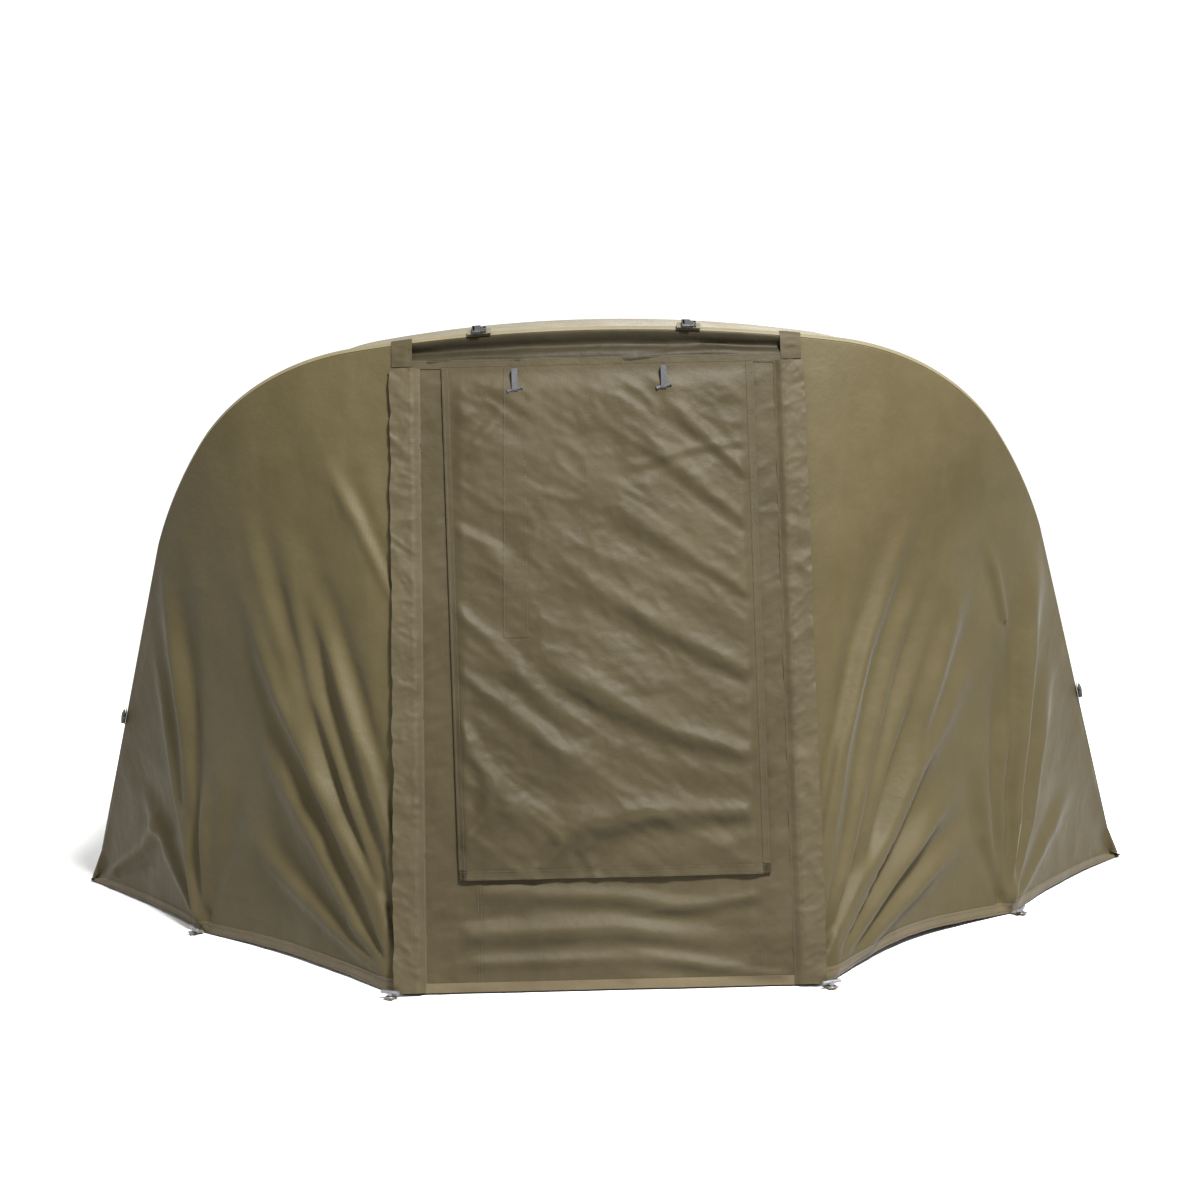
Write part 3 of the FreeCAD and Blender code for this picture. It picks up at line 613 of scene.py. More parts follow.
def ruffle(grid, seed):
    # hollows and wrinkles a grid between its fixed edges
    sag, ripple = roofLook["sag"], roofLook["ripple"]
    rows = grid.shape[0]
    t = np.clip((np.arange(rows) - 2) / (rows - 10), 0, 1)[:, None]
    hollow = (4 * t * (1 - t)) ** 0.8
    n = gridNormals(grid)
    middle = grid[rows // 2]
    along = np.cumsum(np.linalg.norm(np.diff(middle, axis=0, prepend=middle[:1]), axis=1))[None]
    run = t * np.linalg.norm(grid[-6] - grid[2], axis=-1)[None]
    wave = crease(along / 0.16 + 0 * run, run / 0.42, seed) - 0.5
    fine = blob(along / 0.05 + 0 * run, run / 0.12, seed + 9)
    edge = smooth(t / 0.12) * smooth((1 - t) / 0.12)
    pucker = np.sin(along / 0.013 + 4 * blob(along / 0.1 + 0 * run, run / 0.1, seed + 4))
    near = np.exp(-t / 0.03) * smooth(t / 0.01) + np.exp(-(1 - t) / 0.03) * smooth((1 - t) / 0.01)
    move = -sag * hollow + edge * (ripple * 2.0 * wave + ripple * 0.4 * fine) + near * pucker * 0.0006
    return grid + n * move[..., None]


halfU = np.concatenate((np.linspace(0, breaks[1], 6)[:-1], np.linspace(breaks[1], 1, roofLook["columns"])))


def leanShare(p, rear, ahead, nearHub):
    # share of the way from one lean to the other; nearHub is used close to the bolts
    away = np.hypot(p[:, 1], p[:, 2] - shelter["pivotHeight"]) > roofLook["hubReach"]
    return np.where(away, (leanOf(p) - rear) / (ahead - rear), nearHub)


def makeRoofs():
    rear, mid, ahead = (hoopSizes[k][4] for k in ("rear", "mid", "front"))
    spread = roofLook["hubSpread"]
    grid = wholeWidth(roofGrid("mid", "front", halfU))
    piece = clothPiece("front_roof_cloth", ruffle(grid, 11))
    dress(piece, "roof", "roof_fabric", "front_roof_panel")
    between(piece, lambda p: leanShare(p, mid, ahead, -p[:, 1] / spread))

    grid = wholeWidth(roofGrid("rear", "mid", halfU))
    piece = clothPiece("rear_roof_cloth", ruffle(grid, 23))
    dress(piece, "roof", "roof_fabric", "rear_roof_panel")
    between(piece, lambda p: leanShare(p, rear, mid, 1 - p[:, 1] / spread))

    centre, ahead, behind = bend(halfU, "rear")
    foot, share = onGround("rear", halfU)
    foot[:, 1] -= np.interp(share, (0, .5, 1, 1.5, 2, 2.5, 3), (0, .02, 0, .02, 0, .02, .02))
    rows = [rolled(centre, ahead, behind, k) for k in (0.5, 0.75, 1.0)]
    top = rows[-1]
    rows += [top + (foot - top) * t for t in np.linspace(0, 1, 64)[1:]]
    grid = wholeWidth(np.array(rows))
    x, z = grid[..., 0], grid[..., 2]
    folds = foldField(x, z, rearFolds) + foldField(-x, z, rearFolds)
    fade = smooth(z / 0.05)
    t = np.linspace(0, 1, grid.shape[0])[:, None]
    folds = folds * smooth(t / 0.15) * fade
    n = gridNormals(grid)
    wave = crease(x / 0.22, z / 0.30, 31) - 0.5
    inward = np.sin(np.pi * np.clip(t, 0, 1)) * 0.010
    move = folds + wave * 0.007 * smooth(t / 0.1) * smooth((1 - t) / 0.05) - inward
    piece = clothPiece("rear_wall_cloth", grid + n * move[..., None])
    dress(piece, "wall", "wall_fabric", "rear_wall_panel")
    between(piece,
            lambda p: leanShare(p, roofLook["wallFoot"], roofLook["wallTop"], 0.0))


rearFolds = [  # across, up; on the right-hand side of the back
    ([(0.69, 0.01), (0.60, 0.35), (0.52, 0.75)], 0.30, 0.010, 0.050),
    ([(0.69, 0.01), (0.68, 0.40), (0.66, 0.75)], 0.28, 0.010, 0.045),
    ([(0.69, 0.01), (0.45, 0.28), (0.25, 0.60)], 0.30, 0.010, 0.050),
    ([(0.69, 0.01), (0.80, 0.35), (0.86, 0.66)], 0.28, 0.010, 0.045),
    ([(0.69, 0.01), (0.30, 0.10), (0.05, 0.20)], 0.22, 0.008, 0.040),
    ([(1.24, 0.01), (1.16, 0.26), (1.10, 0.48)], 0.30, 0.008, 0.040),
    ([(1.24, 0.01), (1.24, 0.20), (1.22, 0.36)], 0.28, 0.008, 0.035),
    ([(1.24, 0.01), (1.02, 0.22), (0.95, 0.42)], 0.26, 0.008, 0.040),
    ([(1.24, 0.01), (1.00, 0.10), (0.86, 0.16)], 0.20, 0.008, 0.035),
]
makeRoofs()
print("roofs and rear wall made")


# wings

wingLook = {
    "columns": 230,
    "rows": 190,
    "hem": 0.022,
    "scallop": {"left": (0.012, 0.022), "right": (0.020, 0.055)},  # hem pulled in between the pegs
    "crumple": 0.0080,
    "depth": 2.7,
}
wingFolds = {  # across, up in metres from the peg that pulls; then steepness, width near, width far
    "left": [
        ([(0.475, 0.01), (0.54, 0.26), (0.62, 0.46), (0.69, 0.66), (0.74, 0.90), (0.81, 1.16)],
         0.42, 0.010, 0.034),
        ([(0.475, 0.01), (0.58, 0.28), (0.67, 0.46), (0.73, 0.66), (0.80, 0.88), (0.89, 1.18)],
         0.40, 0.010, 0.034),
        ([(0.475, 0.01), (0.54, 0.20), (0.65, 0.37), (0.73, 0.55), (0.80, 0.72), (0.91, 1.06)],
         0.40, 0.010, 0.040),
        ([(0.475, 0.03), (0.50, 0.34), (0.56, 0.53), (0.63, 0.72), (0.70, 0.92), (0.76, 1.10)],
         0.38, 0.009, 0.030),
        ([(0.475, 0.88), (0.57, 1.08), (0.66, 1.24)], 0.22, 0.010, 0.022),
        ([(0.48, 0.02), (0.59, 0.13), (0.67, 0.27), (0.76, 0.42), (0.86, 0.60)], 0.30, 0.009, 0.040),
        ([(0.48, 0.02), (0.62, 0.09), (0.78, 0.20), (0.92, 0.34)], 0.20, 0.008, 0.040),
        ([(1.05, 0.01), (1.08, 0.30), (1.08, 0.57), (1.09, 0.80), (1.10, 1.02)], 0.45, 0.009, 0.030),
        ([(1.05, 0.01), (1.11, 0.34), (1.13, 0.58), (1.16, 0.82)], 0.38, 0.008, 0.028),
        ([(1.05, 0.01), (1.03, 0.22), (1.01, 0.45)], 0.34, 0.008, 0.026),
        ([(1.05, 0.01), (0.99, 0.25), (0.95, 0.52)], 0.20, 0.008, 0.036),
        ([(1.06, 0.02), (1.18, 0.20), (1.27, 0.36)], 0.26, 0.008, 0.030),
        ([(1.40, 0.05), (1.26, 0.16), (1.14, 0.34)], 0.26, 0.010, 0.026),
    ],
    "right": [
        ([(0.475, 0.01), (0.59, 0.22), (0.66, 0.44), (0.73, 0.63), (0.80, 0.84), (0.88, 1.10)],
         0.48, 0.010, 0.036),
        ([(0.475, 0.01), (0.56, 0.25), (0.62, 0.45), (0.67, 0.62), (0.72, 0.77), (0.85, 1.12)],
         0.42, 0.010, 0.030),
        ([(0.480, 0.01), (0.67, 0.29), (0.75, 0.50), (0.84, 0.77), (0.90, 1.06)], 0.48, 0.012, 0.046),
        ([(0.480, 0.01), (0.57, 0.07), (0.72, 0.22), (0.90, 0.40)], 0.40, 0.010, 0.044),
        ([(0.480, 0.01), (0.60, 0.04), (0.74, 0.13), (0.93, 0.26)], 0.34, 0.010, 0.036),
        ([(0.475, 0.03), (0.50, 0.30), (0.55, 0.52), (0.62, 0.74), (0.71, 0.97), (0.79, 1.14)],
         0.36, 0.009, 0.028),
        ([(0.480, 0.02), (0.71, 0.36), (0.84, 0.56), (0.97, 0.80)], 0.34, 0.010, 0.040),
        ([(1.03, 0.01), (1.05, 0.25), (1.07, 0.49), (1.09, 0.74), (1.10, 1.00)], 0.55, 0.010, 0.034),
        ([(1.02, 0.01), (1.01, 0.31), (1.03, 0.53), (1.03, 0.78)], 0.44, 0.009, 0.026),
        ([(1.03, 0.01), (1.11, 0.23), (1.15, 0.44), (1.17, 0.70)], 0.40, 0.009, 0.030),
        ([(1.02, 0.76), (0.99, 0.86), (0.95, 0.99)], 0.30, 0.010, 0.014),
        ([(1.03, 0.01), (0.97, 0.22), (0.95, 0.48)], 0.24, 0.008, 0.030),
        ([(1.05, 0.01), (1.20, 0.16), (1.30, 0.28)], 0.20, 0.008, 0.030),
    ],
}


def wingGrid(side):
    above = np.linspace(breaks[1], frontEdgeU, wingLook["columns"])
    u = np.concatenate((np.linspace(0, breaks[1], 5)[:-1], above))
    centre, ahead, behind = bend(u, "front")
    foot, share = frontFoot(u)
    lift, pull = wingLook["scallop"][side]
    bow = np.interp(share, np.linspace(0, 2, 41), np.abs(np.sin(np.pi * np.linspace(0, 2, 41))))
    part = np.where(share < 1, lift, pull)
    inward = unit(foot * np.array((1.0, 1.0, 0.0)))
    foot = foot - inward * (bow * part)[:, None]
    foot[:, 2] += bow * part * 0.25
    rows = []
    for k in (0.26, 0.20, 0.13, 0.06, 0.0):
        tuck = 0.0015 * smooth((k - 0.14) / 0.08)
        rows.append(rolled(centre, ahead, behind, k) - unit(rolled(centre, ahead, behind, k) - centre) * tuck)
    top = rows[-1]
    length = np.linalg.norm(foot - top, axis=-1)
    hemShare = np.minimum(wingLook["hem"] / length, 0.2)
    for t in np.linspace(0, 1, wingLook["rows"])[1:]:
        rows.append(top + (foot - top) * ((1 - hemShare) * t)[:, None])
    for t in (0.25, 0.5, 0.75, 1.0):
        rows.append(top + (foot - top) * (1 - hemShare * (1 - t))[:, None])
    return np.array(rows)


def wrinkledWing(side):
    grid = wingGrid(side)
    x, z = grid[..., 0], grid[..., 2]
    seed = 41 if side == "left" else 67
    rows = grid.shape[0]
    t = np.clip((np.arange(rows) - 4) / (rows - 9), 0, 1)[:, None]
    folds = foldField(x, z, wingFolds[side]) * wingLook["depth"]
    wave = crease(x / 0.16 - z * 1.2, z / 0.34, seed) - 0.5
    small = crease(x / 0.07, z / 0.09, seed + 5) - 0.5
    lowest = smooth((0.30 - z) / 0.3)
    move = folds * smooth(t / 0.12) * (0.35 + 0.65 * smooth(z / 0.06))
    move = move + wave * wingLook["crumple"] * smooth(t / 0.1) * smooth((x - 0.46) / 0.1)
    move = move + small * 0.0022 * (0.35 + lowest) * smooth(t / 0.1)
    hollow = np.sin(np.pi * t) * 0.014 * smooth((x - 0.50) / 0.15)
    stripRoom = 0.0045 + 0.08 * np.clip(x - 0.492 * (1 - z * 0.02), 0, 1)
    move = np.minimum(move - hollow, stripRoom)
    return grid + gridNormals(grid) * move[..., None]


def makeWings():
    for side in ("left", "right"):
        grid = wrinkledWing(side)
        n = gridNormals(grid)
        hem = (grid + n * 0.0011)[-6:]
        hem[-1, :, 2] -= 0.001
        flip = np.array((-1.0 if side == "left" else 1.0, 1.0, 1.0))
        piece = clothPiece("wing_cloth_" + side, grid * flip)
        dress(piece, "wall", "wall_fabric", "wing_panel_" + side)
        hemPiece = clothPiece("hem_binding_" + side, hem * flip, 0.0018)
        dress(hemPiece, "binding", "wall_fabric")
        rows = [hem[1] + n[-5] * 0.0002, hem[-2] + n[-2] * 0.0002]
        stitches = [stitchRow(r[6:] * flip, n[-4][6:] * flip) for r in rows]
        thread = newMesh("hem_stitching_" + side, *joined(*stitches))
        dress(thread, "thread", "wall_fabric")
        for each in (piece, hemPiece, thread):
            onFront(each)


makeWings()
print("wings made")


# front wall: brow band, door, flap, zip covers

doorLook = {
    "halfWidth": 0.448,
    "doorway": (0.300, 0.300, 1.360),  # half-width, sill, top
    "grid": 0.0065,
    "flapTop": (-0.358, 0.361),
    "flapFoot": (-0.333, 0.363),
    "flapHem": 0.255,
    "flapStand": 0.0048,
    "stripInner": 0.408,
    "stripOuter": 0.478,
    "stripStand": 0.0105,
    "tabs": (0.426, 0.474),
}


def wallLine(x):
    # top, foot and outward direction of the front wall's straight line at x
    a = np.abs(np.asarray(x, float))
    u = front.crownAt(a)
    centre, heading = front.line(u)
    foot = np.stack((centre[..., 0] * shelter["flare"], np.full_like(a, shelter["frontFoot"]),
                     np.full_like(a, shelter["hem"])), -1)
    out = panelNormal(centre, heading, foot)
    top = centre + out * shelter["clothRadius"]
    flip = np.stack((np.where(np.asarray(x) < 0, -1.0, 1.0), np.ones_like(a), np.ones_like(a)), -1)
    return top * flip, foot * flip, out * flip


def wallPoint(x, z, stand=0.0):
    x, z, stand = np.broadcast_arrays(np.asarray(x, float), np.asarray(z, float), np.asarray(stand, float))
    top, foot, out = wallLine(x.ravel())
    t = ((top[:, 2] - z.ravel()) / (top[:, 2] - foot[:, 2]))[:, None]
    return (top + (foot - top) * t + out * stand.ravel()[:, None]).reshape(x.shape + (3,))


def wallOut(x, z):
    x, z = np.broadcast_arrays(np.asarray(x, float), np.asarray(z, float))
    return wallLine(x.ravel())[2].reshape(x.shape + (3,))


def slanted(x, z, degrees):
    a = math.radians(degrees)
    return x * math.cos(a) + z * math.sin(a), -x * math.sin(a) + z * math.cos(a)


def surroundRise(x, z):
    # puckered side bands, soft level folds over the sill
    along, across = slanted(x, z, 24)
    side = smooth((np.abs(x) - 0.33) / 0.04)
    band = (crease(along / 0.075, across / 0.035, 101) - 0.55) * 0.0050
    band = band + (crease(along / 0.04, across / 0.03, 105, 2) - 0.5) * 0.0018
    sill = smooth((0.262 - z) / 0.05)
    level = z + 0.020 * blob(x / 0.30 + 3, z * 0 + 0.5, 111) + 0.015 * x
    folds = foldField(x, level, sillFolds) * 1.5
    crumb = (crease(x / 0.16, z / 0.05, 117) - 0.5) * 0.0045
    rise = side * band * (1 - 0.4 * sill) + sill * (folds + crumb) * smooth((0.41 - np.abs(x)) / 0.05 + 0.3)
    return np.clip(rise, -0.006, 0.016) * smooth((1.42 - z) / 0.03)


sillFolds = [  # level rolls of slack cloth over the sill
    ([(-0.30, 0.215), (0.0, 0.200), (0.33, 0.168)], 0.28, 0.018, 0.024),
    ([(0.34, 0.215), (0.20, 0.190), (0.02, 0.165)], 0.30, 0.012, 0.020),
    ([(-0.34, 0.118), (0.0, 0.130), (0.36, 0.105)], 0.34, 0.020, 0.026),
    ([(-0.32, 0.052), (0.05, 0.060), (0.36, 0.050)], 0.30, 0.014, 0.020),
    ([(0.40, 0.030), (0.20, 0.060), (0.0, 0.085)], 0.30, 0.008, 0.020),
    ([(-0.34, 0.235), (-0.22, 0.225), (-0.10, 0.235)], 0.26, 0.008, 0.016),
]
flapFolds = [  # slack that hangs slantwise across the flap
    ([(0.33, 0.395), (0.10, 0.400), (-0.05, 0.372), (-0.20, 0.300)], 0.42, 0.018, 0.045),
    ([(0.345, 0.520), (0.15, 0.580), (-0.05, 0.690), (-0.24, 0.800)], 0.34, 0.016, 0.042),
    ([(0.350, 0.700), (0.18, 0.790), (0.00, 0.900), (-0.12, 0.990)], 0.30, 0.014, 0.036),
    ([(0.350, 0.880), (0.22, 0.965), (0.06, 1.080), (-0.02, 1.140)], 0.28, 0.012, 0.032),
    ([(0.345, 1.040), (0.24, 1.130), (0.12, 1.240), (0.04, 1.320)], 0.28, 0.011, 0.028),
    ([(0.350, 1.150), (0.28, 1.220), (0.20, 1.300), (0.15, 1.370)], 0.30, 0.009, 0.020),
    ([(0.350, 1.235), (0.22, 1.225), (0.10, 1.190), (-0.03, 1.180)], 0.20, 0.008, 0.014),
    ([(-0.335, 0.620), (-0.27, 0.500), (-0.21, 0.420), (-0.08, 0.350)], 0.36, 0.012, 0.036),
    ([(-0.330, 0.330), (-0.27, 0.400), (-0.24, 0.520)], 0.34, 0.012, 0.030),
    ([(-0.345, 1.190), (-0.27, 1.250), (-0.19, 1.350)], 0.26, 0.010, 0.020),
    ([(-0.345, 1.060), (-0.26, 1.010), (-0.20, 0.930)], 0.24, 0.010, 0.026),
    ([(-0.345, 0.880), (-0.24, 0.780), (-0.12, 0.640), (0.02, 0.540)], 0.26, 0.012, 0.038),
    ([(-0.340, 0.740), (-0.22, 0.640), (-0.10, 0.540), (0.05, 0.470)], 0.28, 0.012, 0.034),
    ([(-0.15, 0.275), (-0.10, 0.330), (-0.13, 0.385)], 0.36, 0.010, 0.016),
    ([(-0.03, 0.275), (-0.06, 0.315), (-0.02, 0.350)], 0.32, 0.010, 0.014),
]


def flapRise(x, z):
    along, across = slanted(x, z, -36)
    broad = crease(along / 0.24, across / 0.085, 131)
    fine = crease(along / 0.085, across / 0.045, 137)
    tiny = crease(x / 0.035, z / 0.030, 139, 2)
    free = smooth((1.41 - z) / 0.05)
    sewn = smooth((0.345 - np.abs(x - 0.005)) / 0.03) * 0.8 + 0.2
    rise = 0.0080 * broad ** 1.4 + 0.0052 * fine ** 1.5 + 0.0013 * tiny
    rise = rise + foldField(x, z, flapFolds) * 1.35
    bag = 0.007 * smooth((0.9 - z) / 0.5) * smooth((z - 0.255) / 0.08)
    return doorLook["flapStand"] + np.clip((rise + bag) * free * sewn, -0.001, 0.030)


def flapEdges(z):
    t = np.clip((shelter["doorSeam"] - z) / (shelter["doorSeam"] - doorLook["flapHem"]), 0, 1)
    (a, b), (c, d) = doorLook["flapTop"], doorLook["flapFoot"]
    return a + (c - a) * t, b + (d - b) * t


def stripRise(x, z, side):
    share = (np.abs(x) - doorLook["stripInner"]) / (doorLook["stripOuter"] - doorLook["stripInner"])
    seed = 151 if side == "left" else 171
    along, across = slanted(np.abs(x), z, 38)
    kink = crease(along / 0.070, across / 0.042, seed)
    fine = crease(np.abs(x) / 0.030, z / 0.022, seed + 4, 2)
    stand = 0.0012 + (doorLook["stripStand"] - 0.0012) * smooth(share / 0.3)
    return stand + (0.0075 * (kink - 0.35) + 0.0022 * (fine - 0.5)) * smooth(share / 0.25 + 0.15)


def seamThread(name, rows, look="thread", slotName="door_fabric"):
    made = newMesh(name, *joined(*[stitchRow(p, n) for p, n in rows]))
    return dress(made, look, slotName)


def wallRow(x, z, rise):
    # a line of points on the front wall with its outward directions
    x, z = np.broadcast_arrays(np.asarray(x, float), np.asarray(z, float))
    return wallPoint(x, z, rise(x, z) + 0.0003), wallOut(x, z)


def seamRise(x, z):
    return np.full_like(x + z, 0.0016)


def makeHeader():
    u = np.linspace(frontEdgeU, 1, 90)
    centre, ahead, behind = bend(u, "front")
    rows = [rolled(centre, ahead, behind, k) for k in (0.26, 0.18, 0.1, 0.0)]
    x = centre[:, 0]
    top = rows[-1]
    seam = wallPoint(x, shelter["doorSeam"] + 0.001, 0.0)
    rows += [top + (seam - top) * t for t in np.linspace(0, 1, 16)[1:]]
    grid = wholeWidth(np.array(rows))
    gx, gz = grid[..., 0], grid[..., 2]
    t = np.clip((np.arange(len(rows)) - 3) / (len(rows) - 4), 0, 1)[:, None]
    wave = crease(gx / 0.15 + gz * 4, gz / 0.03, 91) - 0.5
    dip = foldField(gx, gz, browFolds)
    move = (wave * 0.004 + dip) * smooth(t / 0.3) * smooth((1.08 - t) / 0.2)
    move = move - 0.016 * np.exp(-((t - 0.36) / 0.20) ** 2)  # tucked in under the pole
    piece = clothPiece("brow_band_cloth", grid + gridNormals(grid) * move[..., None])
    dress(piece, "brow", "door_fabric", "header_band")
    across = np.linspace(-0.458, 0.458, 240)
    low, high = shelter["doorSeam"] - 0.004, shelter["doorSeam"] + 0.016
    z = np.array((high, (high + low) / 2, low))[:, None]
    hem = wallPoint(across[None] + 0 * z, z + 0.0006 * np.sin(across[None] * 40), 0.0018 + 0 * z)
    hemPiece = clothPiece("brow_seam_binding", hem, 0.0014)
    dress(hemPiece, "door", "door_fabric")
    rows = [wallRow(across, level, seamRise) for level in (high - 0.003, low + 0.004)]
    thread = seamThread("brow_seam_stitching", rows)
    for each in (piece, hemPiece, thread):
        onFront(each)


browFolds = [
    ([(0.05, 1.430), (0.20, 1.446), (0.36, 1.452)], 0.24, 0.006, 0.009),
    ([(0.16, 1.470), (0.27, 1.458), (0.40, 1.436)], 0.26, 0.006, 0.009),
    ([(-0.40, 1.436), (-0.28, 1.446), (-0.12, 1.440)], 0.22, 0.006, 0.009),
    ([(-0.42, 1.470), (-0.30, 1.462), (-0.20, 1.450)], 0.20, 0.006, 0.008),
]


def makeTabs():
    parts = []
    for flip in (-1.0, 1.0):
        x = np.linspace(*doorLook["tabs"], 10)
        u = front.crownAt(x)
        centre, ahead, behind = bend(u, "front")
        rows = [rolled(centre, ahead, behind, k) for k in np.linspace(1.0, 0.0, 12)]
        top = rows[-1]
        seam = wallPoint(x, shelter["doorSeam"] + 0.002, 0.0)
        rows += [top + (seam - top) * t for t in np.linspace(0, 1, 14)[1:]]
        grid = np.array(rows)
        n = gridNormals(grid)
        t = np.arange(len(rows))[:, None] / len(rows)
        buckled = (crease(grid[..., 0] / 0.03, grid[..., 2] / 0.025, 95 + int(flip)) - 0.3) * 0.0028
        grid = grid + n * (0.0024 + buckled * smooth((t - 0.35) / 0.2))[..., None]
        parts.append(clothSkin(grid * np.array((flip, 1.0, 1.0)), 0.0014))
    piece = newMesh("rim_tab_cloth", *joined(*parts))
    dress(piece, "door", "door_fabric", "rim_tabs")
    onFront(piece)


def makeSurround():
    x = np.arange(-doorLook["halfWidth"], doorLook["halfWidth"] + 1e-6, doorLook["grid"])
    x = np.linspace(x[0], doorLook["halfWidth"], len(x))
    z = np.linspace(shelter["doorSeam"] - 0.001, shelter["hem"], 210)
    gx, gz = np.meshgrid(x, z)
    grid = wallPoint(gx, gz, surroundRise(gx, gz))
    half, sill, top = doorLook["doorway"]
    mx, mz = (gx[:-1, :-1] + gx[1:, 1:]) / 2, (gz[:-1, :-1] + gz[1:, 1:]) / 2
    keep = ~((np.abs(mx) < half) & (mz > sill) & (mz < top))
    piece = clothPiece("door_surround_cloth", grid, None, keep)
    dress(piece, "door", "door_fabric", "door_surround")
    edge = np.linspace(sill, top, 200)
    level = np.linspace(-half, half, 120)
    sillLine = np.linspace(0.012, 0.250, 60)
    rows = [wallRow(np.full_like(edge, s * (half + 0.012)), edge, surroundRise) for s in (-1, 1)]
    rows += [wallRow(level, np.full_like(level, q), surroundRise) for q in (sill - 0.012, top + 0.012)]
    seams = (-0.292, -0.286, 0.331, 0.337)
    rows += [wallRow(np.full_like(sillLine, q), sillLine, surroundRise) for q in seams]
    thread = seamThread("surround_stitching", rows)
    hemZ = np.array((0.026, 0.020, 0.012, 0.0045))[:, None]
    hemX = np.linspace(-doorLook["halfWidth"], doorLook["halfWidth"], 160)[None]
    hem = wallPoint(hemX + 0 * hemZ, hemZ + 0 * hemX, surroundRise(hemX + 0 * hemZ, hemZ + 0 * hemX) + 0.0012)
    hemPiece = clothPiece("door_hem_binding", hem, 0.0014)
    dress(hemPiece, "binding", "door_fabric")
    for each in (piece, thread, hemPiece):
        onFront(each, "door_panel")


def makeFlap():
    z = np.linspace(shelter["doorSeam"] - 0.003, doorLook["flapHem"], 200)
    t = np.linspace(0, 1, 124)
    a, b = flapEdges(z)
    gx = a[:, None] + (b - a)[:, None] * t[None]
    gz = np.repeat(z[:, None], len(t), 1)
    grid = wallPoint(gx, gz, flapRise(gx, gz))
    piece = clothPiece("door_flap_cloth", grid)
    dress(piece, "door", "door_fabric", "door_flap")
    hems = []
    for cx, cz in ((gx[:, :4], gz[:, :4]), (gx[:, -4:], gz[:, -4:]), (gx[-5:], gz[-5:])):
        hems.append(clothSkin(wallPoint(cx, cz, flapRise(cx, cz) + 0.0012), 0.0016))
    tapeZ = np.linspace(shelter["doorSeam"] - 0.004, 0.80, 110)[:, None]
    lean = (shelter["doorSeam"] - tapeZ) * 0.018
    tapeX = np.linspace(-0.214, -0.166, 7)[None] - lean * np.linspace(1, 0.1, 7)[None]
    tapeZs = tapeZ + 0 * tapeX
    hems.append(clothSkin(wallPoint(tapeX, tapeZs, flapRise(tapeX, tapeZs) + 0.0010), 0.0012))
    hemPiece = newMesh("flap_hem_and_tape", *joined(*hems))
    dress(hemPiece, "door", "door_fabric")
    proud = lambda x, z: flapRise(x, z) + 0.0012
    a, b = flapEdges(z)
    rows = [wallRow(a + 0.004, z, proud), wallRow(a + 0.014, z, proud),
            wallRow(b - 0.004, z, proud), wallRow(b - 0.014, z, proud)]
    low = np.linspace(doorLook["flapFoot"][0] + 0.003, doorLook["flapFoot"][1] - 0.003, 180)
    rows += [wallRow(low, np.full_like(low, doorLook["flapHem"] + q), proud) for q in (0.004, 0.019)]
    down = np.linspace(1.415, 0.805, 110)
    drift = (shelter["doorSeam"] - down) * 0.018
    rows += [wallRow(-0.2115 - drift, down, proud), wallRow(-0.1685 - drift * 0.1, down, proud)]
    down = np.linspace(1.415, 0.97, 90)
    rows += [wallRow(-0.015 - (1.42 - down) * 0.085, down, flapRise)]
    thread = seamThread("flap_stitching", rows)
    for each in (piece, hemPiece, thread):
        onFront(each, "door_flap")


def makeStrips():
    z = np.linspace(shelter["doorSeam"] - 0.002, shelter["hem"] + 0.002, 330)[:, None]
    for side, flip in (("left", -1.0), ("right", 1.0)):
        x = np.linspace(doorLook["stripInner"], doorLook["stripOuter"], 20)[None]
        seed = 191 if side == "left" else 193
        wave = 0.004 * blob(z / 0.06, z * 0 + 0.5, seed) + 0.002 * blob(z / 0.022, z * 0 + 0.5, seed + 1)
        share = (x - doorLook["stripInner"]) / (doorLook["stripOuter"] - doorLook["stripInner"])
        gx = (x + wave * share) * flip
        gz = z + 0 * x
        grid = wallPoint(gx, gz, stripRise(gx, gz, side))
        piece = clothPiece("zip_cover_cloth_" + side, grid)
        dress(piece, "strip", "door_fabric", "zip_cover_" + side)
        line = z[:, 0]
        rise = lambda x, z, side=side: stripRise(x, z, side)
        rows = [wallRow(np.full_like(line, flip * q), line, rise) for q in (0.4115, 0.431)]
        thread = seamThread("zip_cover_stitching_" + side, rows)
        for each in (piece, thread):
            onFront(each, "door_panel")


makeHeader()
makeTabs()
makeSurround()
makeFlap()
makeStrips()
print("front wall made")


# zips, straps, loops, hardware

zipLook = {"line": 0.455, "top": 1.400, "foot": 0.030, "pitch": 0.0026, "tooth": 0.0026, "gap": 0.0006}


def teeth(side, flip):
    # coil teeth standing beside the zip's line; flip 1 is the outer half
    z = np.arange(zipLook["foot"], zipLook["top"], zipLook["pitch"])
    top, foot, out = wallLine(np.full_like(z, zipLook["line"]))
    mid = wallPoint(np.full_like(z, zipLook["line"]), z, 0.0016)
    down = unit(foot - top)
    across = unit(np.cross(out, down)) * -1
    across = across * np.sign(across[:, :1]) * flip
    a = mid + across * zipLook["gap"]
    b = mid + across * (zipLook["gap"] + zipLook["tooth"])
    h = down * zipLook["pitch"] * 0.32
    o = out * 0.0013
    corners = [a - h - o, b - h - o, b + h - o, a + h - o, a - h + o, b - h + o, b + h + o, a + h + o]
    points = np.stack(corners, 1).reshape(-1, 3) * np.array((side, 1.0, 1.0))
    faces = boxFaces(len(z))
    return points, faces[:, ::-1] if side * flip > 0 else faces


